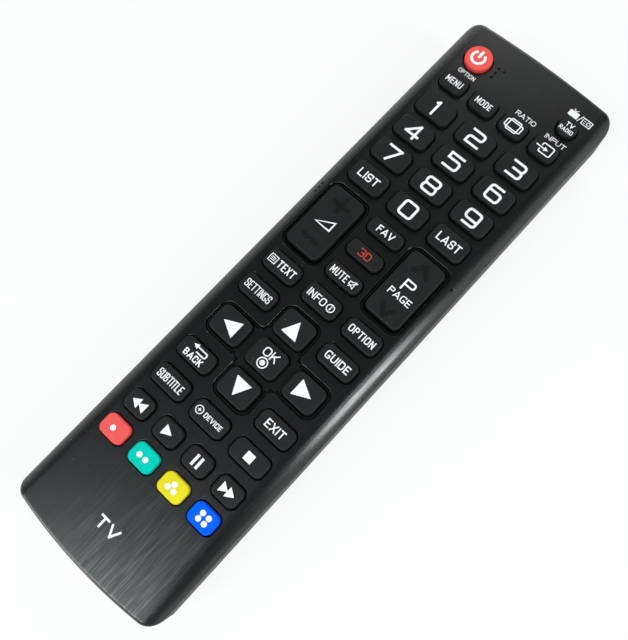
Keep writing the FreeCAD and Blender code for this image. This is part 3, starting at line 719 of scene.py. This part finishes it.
@dataclass(frozen=True)
class KeyRubber(Recipe):
    """Silicone rubber with a satin skin, rougher and painted darker as shade round its edges, and painted
    dark as shadow low in the gap.

    Attributes:
        edge: The colour of the painted shade round the edges, down the walls and on raised marks.
        shine: How much the skin mirrors.
        gloss: The roughness of the skin.
        pill_z: The height below which a surface is the carbon pill under the key.
        top_z: The height of the key's top, above which a raised mark stands.
    """

    edge: Triple
    shine: float = 0.06
    gloss: float = 0.5
    pill_z: float = 16.62
    top_z: float = 20.7

    def paint(self) -> None:
        """Edges lean and raised marks lie high, and both get painted shade; painted shadow and the pill lie
        low; dust is sparse noise.
        """
        height = self.place.axis("Z")
        lean = self.up.band(0.99, 0.6)
        cloud = self.noise(0.35, 3.0, 0.3, 0.75)
        body = cloud.blend(self.colour, scaled(self.colour, 1.12))
        # Painted shade: leaning edges, walls and raised marks take the edge colour.
        mark = height.band(self.top_z + 0.03, self.top_z + 0.12)
        rounded = lean.most(mark).blend(body, self.edge)
        # Painted shadow: what lies in the opening, below the face, darkens toward a third of the edge colour.
        gap = height.band(FACE_Z + 0.1, FACE_Z - 0.3)
        gap_shaded = gap.blend(rounded, scaled(self.edge, 0.3))
        carbon = (height < self.pill_z).blend(gap_shaded, linear(24, 24, 26))
        pale = tuple(min(1.0, c + 0.18) for c in self.colour)
        self.wire(
            Base_Color=self.noise(2.9, 0.0, 0.865, 0.885).blend(carbon, pale),
            Roughness=(cloud * 0.3).most(lean).between(self.gloss, self.gloss + 0.26),
            Specular_IOR_Level=self.shine,
        )
        self.bump(self.noise(9.0, 2.0), 0.0016)


@dataclass(frozen=True)
class Clouded(Recipe):
    """A finish that drifts between two colours, over a finely uneven skin.

    Attributes:
        tone: The colour that it drifts to.
        cloud: The noise that brings the second colour.
        skin: The noise of the surface's height.
        depth: How high that noise stands.
        gloss: The roughness where there is no wear, and where there is most.
        wear: The noise of the wear, if there is any.
        metal: Whether the second colour is bare metal.
        others: Numbers for the shader's other inputs.
    """

    tone: Triple
    cloud: Noise
    skin: Noise
    depth: float
    gloss: Point
    wear: Noise | None = None
    metal: bool = False
    others: dict[str, float] = field(default_factory=dict)

    def paint(self) -> None:
        """Lead the noises to the colour, the height and, where there is wear, the roughness."""
        cloud = self.noise(*self.cloud)
        worn = self.noise(*self.wear).between(*self.gloss) if self.wear else self.gloss[0]
        self.wire(Base_Color=cloud.blend(self.colour, self.tone), Roughness=worn, **self.others)
        if self.metal:
            self.wire(Metallic=cloud)
        self.bump(self.noise(*self.skin), self.depth)


def grained(name: str, colour: Triple) -> Clouded:
    """Matt moulded plastic with an even fine grain, smoother where it is rubbed."""
    noises = {"cloud": (3.2, 3.0, 0.4, 0.8), "skin": (3.2, 3.0), "wear": (0.05, 3.0, 0.5, 0.75)}
    return Clouded(
        name, colour, scaled(colour, 1.35), depth=0.012, gloss=(0.6, 0.46), **noises,
        others={"Specular_IOR_Level": 0.45},
    )


def bright_metal(name: str, colour: Triple, gloss: Point, drawn: Triple = (1.0, 1.0, 1.0)) -> Clouded:
    """Bright metal, with one noise of wear in its colour, roughness and height, drawn out along an axis."""
    wear = (1.5, 4.0, 0.0, 1.0, drawn)
    return Clouded(
        name, colour, scaled(colour, 0.72), (1.5, 4.0, 0.45, 0.8, drawn), wear, 0.003, gloss, wear,
        others={"Metallic": 1.0},
    )


def ink(name: str, colour: Triple, thin: Triple) -> Clouded:
    """Screen-printed ink, slightly uneven where it lies thin."""
    return Clouded(
        name, colour, thin, (5.0, 3.0, 0.58, 0.8), (12.0, 1.0), 0.001, (0.5, 0.5),
        others={"Specular_IOR_Level": 0.35},
    )


@dataclass(frozen=True)
class SolderMask(Recipe):
    """A circuit board: green lacquer over copper tracks, with bare laminate at its cut edges."""

    def paint(self) -> None:
        """Tracks are a brick pattern of long runs; pads are round cells; edges are the laminate."""
        runs = {"Scale": 0.42, "Mortar Size": 0.09, "Mortar Smooth": 0.1, "Brick Width": 2.6}
        runs.update({"Row Height": 0.5, "Vector": self.place.vector("MULTIPLY", (0.9, 1.0, 0.0))})
        brick = self.node("TexBrick", runs, "Fac")
        cells = {"Scale": 0.34, "Vector": self.place.vector("MULTIPLY", (1.0, 1.0, 0.0))}
        pad = self.node("TexVoronoi", cells, "Distance").band(0.13, 0.11)
        dressed = pad.blend(brick.blend(self.colour, linear(34, 116, 66)), linear(196, 178, 128))
        side = abs(self.up).band(0.3, 0.6).between(1.0, 0.0)
        self.wire(Base_Color=side.blend(dressed, linear(146, 138, 92)), Roughness=pad.between(0.34, 0.22))
        self.bump(brick, 0.02)


@dataclass(frozen=True)
class MouldedChip(Recipe):
    """A controller chip: black epoxy between its tinned legs.

    Attributes:
        half: Half the width of the epoxy body, with a little room.
    """

    half: float = 3.77

    def paint(self) -> None:
        """What lies beyond the body's half width, from the chip's own middle, is metal."""
        low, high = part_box("controller_chip")
        middle = (low + high) / 2 / MM
        leg = abs(self.place.axis("X") - middle.x) > self.half
        mottled = self.noise(4.0, 3.0).blend(self.colour, linear(40, 40, 42))
        tinned = leg.blend(mottled, linear(190, 190, 186))
        self.wire(Base_Color=tinned, Metallic=leg, Roughness=leg.between(0.6, 0.3))
        self.bump(self.noise(8.0, 2.0), 0.004)


@dataclass(frozen=True)
class CellJacket(Recipe):
    """The printed foil round each cell: a dark body, a copper band and bare steel ends.

    Attributes:
        copper_end: How far the copper band reaches from the end with the nub.
        margin: How much steel shows at each end.
    """

    copper_end: float = 11.0
    margin: float = 1.1

    def paint(self) -> None:
        """Each cell has its nub at another end, so the band is chosen by the side of the middle."""
        low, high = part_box("battery_cells")
        up = self.place.axis("Y") - low.y / MM
        down = self.place.axis("Y").math("MULTIPLY_ADD", -1.0, high.y / MM)
        right = self.place.axis("X") > 0.0
        band = right * up + right.between(1.0, 0.0) * down < self.copper_end
        copper = self.noise(0.8, 2.0, 0.3, 0.7).blend(linear(172, 112, 66), linear(196, 134, 82))
        near_end = up.least(down) < self.margin
        self.wire(
            Base_Color=near_end.blend(band.blend(self.colour, copper), linear(200, 200, 196)),
            Metallic=near_end.most(band * 0.6),
            Roughness=self.noise(1.0, 3.0).between(0.2, 0.4),
        )
        self.bump(self.noise(0.5, 2.0), 0.01)


class Finish(Enum):
    """The finishes. A node wears the one with its own name, and every other key wears KEY."""

    FRONT_CASE = BrushedPlastic("brushed_black_plastic", linear(18, 21, 20))
    REAR_CASE = grained("grained_black_plastic", linear(30, 31, 32))
    BATTERY_COVER = grained("grained_cover_plastic", linear(32, 33, 34))
    # Each key's second colour is the painted shade of its edges, walls and raised marks.
    KEY = KeyRubber("black_rubber", linear(22, 26, 25), linear(10, 12, 12), 0.25)
    KEY_POWER = KeyRubber("power_red_rubber", linear(232, 90, 80), linear(206, 70, 62))
    KEY_RED = KeyRubber("red_rubber", linear(226, 89, 86), linear(206, 74, 72))
    KEY_GREEN = KeyRubber("green_rubber", linear(0, 192, 171), linear(0, 166, 148))
    KEY_YELLOW = KeyRubber("yellow_rubber", linear(221, 208, 38), linear(200, 186, 30))
    KEY_BLUE = KeyRubber("blue_rubber", linear(0, 91, 230), linear(0, 74, 204))
    KEYPAD_SHEET = Clouded(
        "pale_silicone", linear(150, 152, 150), linear(168, 169, 165),
        cloud=(0.2, 3.0, 0.3, 0.7), skin=(6.0, 2.0), depth=0.003, gloss=(0.6, 0.6),
    )
    CIRCUIT_BOARD = SolderMask("green_board", linear(20, 82, 48))
    CONTROLLER_CHIP = MouldedChip("chip_epoxy", linear(28, 28, 30))
    BOARD_PARTS = Clouded(
        "board_components", linear(34, 38, 60), linear(176, 176, 172),
        cloud=(0.12, 0.0, 0.47, 0.5), skin=(5.0, 2.0), depth=0.003, gloss=(0.25, 0.5),
        wear=(2.0, 2.0), metal=True,
    )
    INFRARED_LAMP = Clouded(
        "violet_lens", linear(38, 24, 58), linear(58, 38, 86),
        cloud=(0.6, 2.0, 0.35, 0.75), skin=(1.2, 1.0), depth=0.004, gloss=(0.1, 0.1),
        others={"Coat_Weight": 0.5, "Coat_Roughness": 0.05, "IOR": 1.55},
    )
    BATTERY_CELLS = CellJacket("cell_jacket", linear(30, 34, 42))
    BATTERY_CONTACTS = bright_metal("contact_metal", linear(206, 204, 198), (0.2, 0.4), (1.0, 0.1, 1.0))
    BATTERY_SPRINGS = bright_metal("spring_metal", linear(196, 196, 194), (0.14, 0.34))
    WHITE_INK = ink("white_ink", linear(242, 244, 244), linear(214, 217, 217))
    RED_INK = ink("red_ink", linear(230, 60, 54), linear(196, 48, 44))

    @cache
    def material(self) -> bpy.types.Material:
        """The finish's material, made when it is first asked for."""
        self.value.paint()
        return self.value.material


def add_piece(name: str, mesh: bpy.types.Mesh, finish: Finish, body: str) -> None:
    """Make an object of a finished mesh, dress it and let it ride on a body.

    Args:
        name: The piece's name.
        mesh: Its mesh, in place, in metres.
        finish: What it wears.
        body: The body that it moves with.
    """
    piece = bpy.data.objects.new(name, mesh)
    bpy.context.scene.collection.objects.link(piece)
    mesh.materials.append(finish.material())
    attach(piece, body)
    LOG.info("piece %s rides on %s", name, body)


def box(x: float, y: float, width: float, height: float) -> list[Point]:
    """The corners of a rectangle about its middle, from the lower left one round."""
    right, up = width / 2, height / 2
    return [(x - right, y - up), (x + right, y - up), (x + right, y + up), (x - right, y + up)]


@dataclass
class KeyLegends:
    """The printing on the keys and rockers, each drawn about its own key's middle.

    Attributes:
        digit_size: Width and height of a number.
        digit_weight: The width of a number's stroke.
        word_weight: The width of a word's stroke.
        arrow: Height of the direction keys' triangles.
        dot: Radius of the coloured keys' dots.
    """

    digit_size: Point = (4.7, 5.0)
    digit_weight: float = 0.71
    word_weight: float = 0.34
    arrow: float = 4.8
    dot: float = 0.76
    drawn: dict[str, Artwork] = field(default_factory=dict)

    def art(self, key: str) -> Artwork:
        """The drawing for a key, started when it is first asked for."""
        return self.drawn.setdefault(key, Artwork())

    def digits(self) -> None:
        """Draw the numbers on their keys."""
        for digit in "023456789":
            self.art("key_" + digit).word(digit, self.digit_size, self.digit_weight, soft=0.24)
        self.art("key_1").word("1", (1.8, self.digit_size[1]), self.digit_weight, (-0.1, 0.0))

    def words(self) -> None:
        """Draw the everyday words, each with its size over the ink and, off the middle, its place."""
        w = self.word_weight
        rows = [
            ("key_list", "LIST", (6.6, 2.5), w + 0.03),
            ("key_last", "LAST", (7.4, 2.5), w + 0.03),
            ("key_favourite", "FAV", (5.3, 2.1), w),
            ("key_mute", "MUTE", (5.4, 2.2), w - 0.06, (-1.5, 0.0)),
            ("key_text", "TEXT", (5.7, 2.3), w, (1.5, 0.0)),
            ("key_info", "INFO", (5.8, 2.2), w - 0.03, (-1.5, 0.0)),
            ("key_options", "OPTION", (8.2, 2.1), w - 0.02),
            ("key_settings", "SETTINGS", (8.5, 2.3), w - 0.09),
            ("key_guide", "GUIDE", (7.7, 2.2), w),
            ("key_back", "BACK", (6.0, 1.9), w, (-0.2, -1.1)),
            ("key_exit", "EXIT", (6.1, 2.3), w),
            ("key_subtitle", "SUBTITLE", (8.3, 2.3), w - 0.06),
            ("key_device", "DEVICE", (5.8, 1.4), 0.24, (1.3, 0.0)),
            ("key_menu", "MENU", (5.2, 2.0), w - 0.08),
            ("key_mode", "MODE", (5.2, 2.0), w - 0.08),
            ("key_tv_radio", "TV", (2.4, 1.4), 0.26, (0.0, 0.95)),
            ("key_tv_radio", "RADIO", (4.2, 1.3), 0.2, (0.0, -0.85)),
            ("key_ok", "OK", (4.5, 2.5), w, (0.2, 1.4)),
            ("rocker_page", "P", (3.4, 3.5), 0.5, (0.2, 1.0)),
            ("rocker_page", "PAGE", (7.1, 2.0), w - 0.04, (0.2, -2.5)),
            ("key_3d", ("round 3", "D"), (3.7, 2.2), 0.22),
        ]
        for key, *values in rows:
            self.art(key).word(*values)

    def triangle(self, key: str, middle: Point, length: float, base: float, turn: float) -> None:
        """Fill a triangle whose tip points along a direction.

        Args:
            key: The key that it is printed on.
            middle: The middle of its length.
            length: From its base to its tip.
            base: The width of its base.
            turn: The tip's direction in degrees from X.
        """
        corners = np.array([[length / 2, 0.0], [-length / 2, base / 2], [-length / 2, -base / 2]])
        c, s = math.cos(math.radians(turn)), math.sin(math.radians(turn))
        self.art(key).plate(np.asarray(middle) + corners @ np.array([[c, s], [-s, c]]), soft=0.22)

    def arrows(self) -> None:
        """Draw the direction keys' triangles and the transport symbols."""
        for key, turn in (("key_up", 90), ("key_left", 180), ("key_right", 0), ("key_down", 270)):
            self.triangle(key, (0.0, 0.0), self.arrow, self.arrow + 0.2, turn)
        self.triangle("key_play", (0.0, 0.0), 2.8, 3.0, 0)
        for side, key, turn in ((-1, "key_rewind", 180), (1, "key_forward", 0)):
            self.triangle(key, (-side * 1.05, 0.0), 2.3, 3.0, turn)
            self.triangle(key, (side * 1.05, 0.0), 2.3, 3.0, turn)
        for side in (-1, 1):
            self.art("key_pause").stroke([(side * 0.75, -1.6), (side * 0.75, 1.6)], 0.76)
        self.art("key_stop").plate(box(0.0, 0.0, 2.44, 2.44))

    def dots(self) -> None:
        """Draw one to four dots on the coloured keys."""
        places = {
            "key_red": [(-0.45, -0.15)],
            "key_green": [(-1.3, -0.1), (0.8, -0.1)],
            "key_yellow": [(-0.15, 0.75), (-1.15, -0.65), (0.85, -0.65)],
            "key_blue": [(-0.87, 0.87), (1.13, 0.87), (-0.87, -0.83), (1.13, -0.83)],
        }
        for key, centres in places.items():
            for centre in centres:
                self.art(key).disc(centre, self.dot)

    def symbols(self) -> None:
        """Draw the standard symbols: power, wedge, ring, page, speaker, letter i, arrow and screens."""
        stroke, arc, disc, plate = Artwork.stroke, Artwork.arc, Artwork.disc, Artwork.plate
        page = [(-4.4, -1.05), (-2.1, -1.05), (-2.1, 1.05), (-4.4, 1.05)]
        horn = [(2.0, -0.45), (2.7, -0.45), (3.6, -1.05), (3.6, 1.05), (2.7, 0.45), (2.0, 0.45)]
        screen = [(-1.1, 0.6), (-1.1, 1.6), (2.4, 1.6), (2.4, -1.4), (-1.1, -1.4), (-1.1, -0.5)]
        rows = [
            ("key_power", arc, (-0.15, -0.1), 1.9, 0.8, 128.0, 284.0),
            ("key_power", stroke, [(-0.15, -0.1), (-0.15, 2.35)], 0.82),
            ("rocker_volume", stroke, [(-2.4, -1.42), (2.35, 1.35), (2.4, -1.42)], 0.46, 0.0, True),
            ("key_ok", arc, (-0.05, -1.55), 1.37, 0.32),
            ("key_ok", disc, (-0.05, -1.55), 0.74),
            ("key_text", stroke, page, 0.24, 0.0, True),
            *(("key_text", stroke, [(-4.0, y), (-2.5, y)], 0.2) for y in (0.45, 0.0, -0.45)),
            ("key_mute", stroke, horn, 0.26, 0.0, True),
            ("key_mute", stroke, [(4.1, 1.0), (2.2, -1.0)], 0.26),
            ("key_info", arc, (3.1, 0.0), 1.05, 0.28),
            ("key_info", stroke, [(3.1, -0.6), (3.1, 0.2)], 0.34),
            ("key_info", disc, (3.1, 0.55), 0.19, 16),
            ("key_back", stroke, [(-0.6, 0.45), (2.4, 0.45), (2.4, 1.75), (-1.2, 1.75)], 0.38, 0.6),
            ("key_back", plate, [(-2.5, 1.75), (-1.0, 2.5), (-1.0, 1.0)]),
            ("key_device", arc, (-3.4, 0.0), 1.05, 0.24),
            ("key_device", stroke, [(-3.4, -0.5), (-3.4, 0.5)], 0.26),
            ("key_device", stroke, [(-3.9, 0.0), (-2.9, 0.0)], 0.26),
            ("key_ratio", stroke, box(0.0, 0.0, 5.0, 2.3), 0.34, 0.5, True),
            ("key_ratio", stroke, box(0.0, 0.0, 3.3, 3.5), 0.34, 0.5, True),
            ("key_input", stroke, screen, 0.36, 0.5),
            ("key_input", stroke, [(-2.6, 0.05), (0.1, 0.05)], 0.36),
            ("key_input", plate, [(1.2, 0.05), (-0.1, 0.75), (-0.1, -0.65)]),
        ]
        for key, draw, *values in rows:
            draw(self.art(key), *values)

    def place(self) -> None:
        """Lay each drawing on its key's top, and let it ride on the key's body."""
        self.digits()
        self.words()
        self.arrows()
        self.dots()
        self.symbols()
        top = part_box("key_ok")[1].z
        for key, art in self.drawn.items():
            low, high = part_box(key)
            middle = (low + high) / 2
            mesh = art.mesh("legend_" + key)
            mesh.transform(Matrix.Translation((middle.x, middle.y, top)))
            finish = Finish.RED_INK if key == "key_3d" else Finish.WHITE_INK
            add_piece("legend_" + key, mesh, finish, key)


@dataclass
class FacePrinting:
    """The small printing on the face itself.

    Attributes:
        small: The width of a small stroke.
    """

    small: float = 0.21

    def draw(self) -> Artwork:
        """Draw the words and the two pictures.

        Returns:
            The drawing, about the middle of the face.
        """
        art = Artwork()
        art.word("OPTION", (5.6, 1.35), self.small - 0.02, (-14.9, 73.75))
        art.word("RATIO", (6.5, 1.5), self.small, (6.05, 73.75))
        art.word("INPUT", (6.5, 1.5), self.small, (16.35, 73.35))
        art.word("TV", (6.9, 3.1), 0.58, (0.2, -79.0), gap=1.3)
        art.plate(box(14.9, 83.25, 3.0, 1.9), soft=0.3)
        art.stroke([(14.2, 84.9), (14.9, 84.2), (15.6, 84.9)], 0.2)
        art.stroke([(16.7, 82.1), (17.5, 84.5)], 0.22)
        art.stroke(box(19.3, 83.25, 2.8, 1.9), 0.24, closed=True)
        art.arc((19.8, 83.25), 0.5, 0.2)
        art.stroke([(18.3, 82.8), (18.9, 82.8)], 0.2)
        art.stroke([(18.3, 83.5), (18.9, 83.5)], 0.2)
        return art

    def place(self) -> None:
        """Lay the printing on the face, and let it ride on the housing."""
        mesh = self.draw().mesh("face_printing")
        mesh.transform(Matrix.Translation((0.0, 0.0, FACE_Z * MM)))
        add_piece("face_printing", mesh, Finish.WHITE_INK, "housing")


@dataclass
class CellMarks:
    """A plus and a minus printed on the underside of each cell's jacket.

    Attributes:
        radius: The cell's radius.
        inset: How far the marks lie from the cells' ends.
        size: The length of a mark's bars.
        weight: Their width.
    """

    radius: float = 5.25
    inset: float = 7.0
    size: float = 3.2
    weight: float = 0.8

    def place(self) -> None:
        """Bend flat marks round each jacket.

        A point at x across and h above the drawing goes to the angle x over the radius, at the
        radius plus h, measured from straight down.
        """
        low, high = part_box("battery_cells")
        half = self.size / 2
        across = np.column_stack([np.linspace(-half, half, 13), np.zeros(13)])
        for side, name in ((-1, "cell_marks_left"), (1, "cell_marks_right")):
            art = Artwork()
            near, far = low.y / MM + self.inset, high.y / MM - self.inset
            plus, minus = (near, far)[::side]
            art.stroke(across + [0.0, plus], self.weight)
            art.stroke([(0.0, plus - half), (0.0, plus + half)], self.weight)
            art.stroke(across + [0.0, minus], self.weight)
            mesh = art.mesh("cell_marks")
            flat = np.zeros(3 * len(mesh.vertices), np.float32)
            mesh.vertices.foreach_get("co", flat)
            x, y, h = flat.reshape(-1, 3).T / MM
            reach = self.radius + h
            centre_x = side * (high.x / MM - self.radius)
            centre_z = (low.z + high.z) / 2 / MM
            turn = x / self.radius
            bent = np.column_stack([centre_x - reach * np.sin(turn), y, centre_z - reach * np.cos(turn)])
            mesh.vertices.foreach_set("co", (bent * MM).astype(np.float32).ravel())
            mesh.update()
            add_piece(name, mesh, Finish.WHITE_INK, "housing")


def dress(crease: float = 28.0) -> None:
    """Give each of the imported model's own nodes its material, and shade its tangent faces as one.

    To shade them, faces are joined, sharp edges are parted, and normals are weighed by area.

    Args:
        crease: The turn, in degrees, above which an edge stays sharp.
    """
    for name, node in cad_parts.items():
        material = Finish.__members__.get(name.upper(), Finish.KEY).material()
        for slot in node.material_slots:
            slot.material = material
        node.modifiers.new("join", "WELD").merge_threshold = 1e-7
        node.modifiers.new("part", "EDGE_SPLIT").split_angle = math.radians(crease)
        node.modifiers.new("weigh", "WEIGHTED_NORMAL").weight = 50
        LOG.info("node %s wears %s", name, material.name)


@dataclass
class Studio:
    """The floor, the world, the lamps and the camera.

    Attributes:
        lens: The camera's focal length for a 36 mm sensor.
        camera_at: The camera's place.
        right: The picture's right.
        down: The picture's down.
        ahead: Where the camera looks.
        paper: The floor's white.
        lit: How much of it the camera sees as light.
        horizon: The colour of the room low down.
        ceiling: Its colour higher up.
        dark_side: The direction in which it is dim.
        backdrop: What the camera sees of it.
    """

    lens: float = 38.637
    camera_at: Triple = (37.99, -33.126, 191.131)
    right: Triple = (0.73072444, 0.68078243, -0.05076491)
    down: Triple = (0.65147045, -0.71761992, -0.24618673)
    ahead: Triple = (-0.20402951, 0.14682282, -0.96789205)
    paper: Triple = (0.92, 0.92, 0.92)
    lit: float = 0.82
    horizon: Triple = (0.85, 0.86, 0.87)
    ceiling: Triple = (0.02, 0.02, 0.021)
    dark_side: Triple = (0.77, -0.64, 0.0)
    backdrop: Triple = (0.95, 0.95, 0.95)

    def floor(self) -> None:
        """A wide white floor, part of its white given to the camera as light, so it stays pale."""
        bpy.ops.mesh.primitive_grid_add(x_subdivisions=2, y_subdivisions=2, size=6.0)
        plane = bpy.context.active_object
        plane.name = "floor"
        plane.location.z = -0.1 * MM
        white = Recipe("white_floor", self.paper)
        white.paint()
        white.wire(Roughness=0.9, Specular_IOR_Level=0.1)
        kinds = ("Camera", "Glossy", "Transmission")
        straight, mirrored, through = [white.node("LightPath", output=f"Is {kind} Ray") for kind in kinds]
        glow = white.node("Emission", {"Color": (1.0, 1.0, 1.0)})
        white.show("Material Output", straight.most(mirrored).most(through) * self.lit, glow)
        plane.data.materials.append(white.material)

    def world(self) -> None:
        """A pale horizon under a darker ceiling, dimmer to one side, and plain where the camera sees it."""
        world = bpy.data.worlds.new("studio")
        bpy.context.scene.world = world
        world.use_nodes = True
        graph = Graph(world.node_tree)
        place = graph.node("TexCoord", output="Generated")
        tint = graph.node("ValToRGB", {"Fac": place.axis("Z")})
        heights = ((0.16, self.horizon), (0.78, self.ceiling))
        for element, (position, colour) in zip(tint.socket.node.color_ramp.elements, heights):
            element.color = (*colour, 1.0)
            element.position = position
        toward = place.vector("DOT_PRODUCT", self.dark_side, "Value")
        room = world.node_tree.nodes["Background"].inputs
        graph.feed(room["Color"], tint)
        graph.feed(room["Strength"], toward.band(0.62, 0.82).between(1.06, 0.2))
        seen = graph.node("LightPath", output="Is Camera Ray")
        graph.show("World Output", seen, graph.node("Background", {"Color": self.backdrop}))

    def lamp(self, name: str, place: Triple, size: Point, watts: float, colour: Triple) -> None:
        """Hang a soft lamp that faces the middle of the remote.

        Args:
            name: The lamp's name.
            place: Where it hangs, in metres.
            size: Its width and height, in metres.
            watts: Its power.
            colour: The colour of its light.
        """
        data = bpy.data.lights.new(name, "AREA")
        data.shape = "RECTANGLE"
        data.size, data.size_y = size
        data.energy = watts
        data.color = colour
        lamp = bpy.data.objects.new(name, data)
        bpy.context.scene.collection.objects.link(lamp)
        lamp.location = place
        lamp.rotation_euler = (-lamp.location).to_track_quat("-Z", "Y").to_euler()

    def lamps(self) -> None:
        """Softboxes by both shoulders and past both ends, and a low strip past the lower end."""
        white = (1.0, 1.0, 1.0)
        self.lamp("right_softbox", (0.74, 0.095, 0.52), (0.2, 0.7), 4.9, (0.95, 1.0, 1.0))
        self.lamp("lower_softbox", (0.05, -0.53, 0.78), (0.6, 0.34), 5.1, (0.9, 0.96, 1.0))
        self.lamp("upper_softbox", (-0.42, 0.96, 0.75), (0.5, 0.36), 2.6, white)
        self.lamp("lower_strip", (-0.29, -1.0, 0.34), (0.3, 0.5), 2.9, white)
        self.lamp("left_fill", (-0.9, 0.3, 0.5), (1.1, 0.7), 0.9, white)

    def camera(self) -> None:
        """Put the camera where the photograph was taken from."""
        data = bpy.data.cameras.new("camera")
        data.sensor_width = 36.0
        data.lens = self.lens
        data.clip_start = 0.01
        camera = bpy.data.objects.new("camera", data)
        bpy.context.scene.collection.objects.link(camera)
        turn = np.eye(4)
        turn[:3, 0] = self.right
        turn[:3, 1] = -np.array(self.down)
        turn[:3, 2] = -np.array(self.ahead)
        turn[:3, 3] = np.array(self.camera_at) * MM
        camera.matrix_world = Matrix(turn.tolist())
        bpy.context.scene.camera = camera

    def build(self) -> None:
        """Set up the whole studio."""
        bpy.context.scene.view_settings.view_transform = "Standard"
        self.floor()
        self.world()
        self.lamps()
        self.camera()


def main() -> None:
    """Build the pieces in order and report each."""
    logging.basicConfig(level=logging.INFO, format="%(name)s %(message)s")
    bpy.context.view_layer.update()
    dress()
    KeyLegends().place()
    FacePrinting().place()
    CellMarks().place()
    Studio().build()


if __name__ == "__main__":
    main()
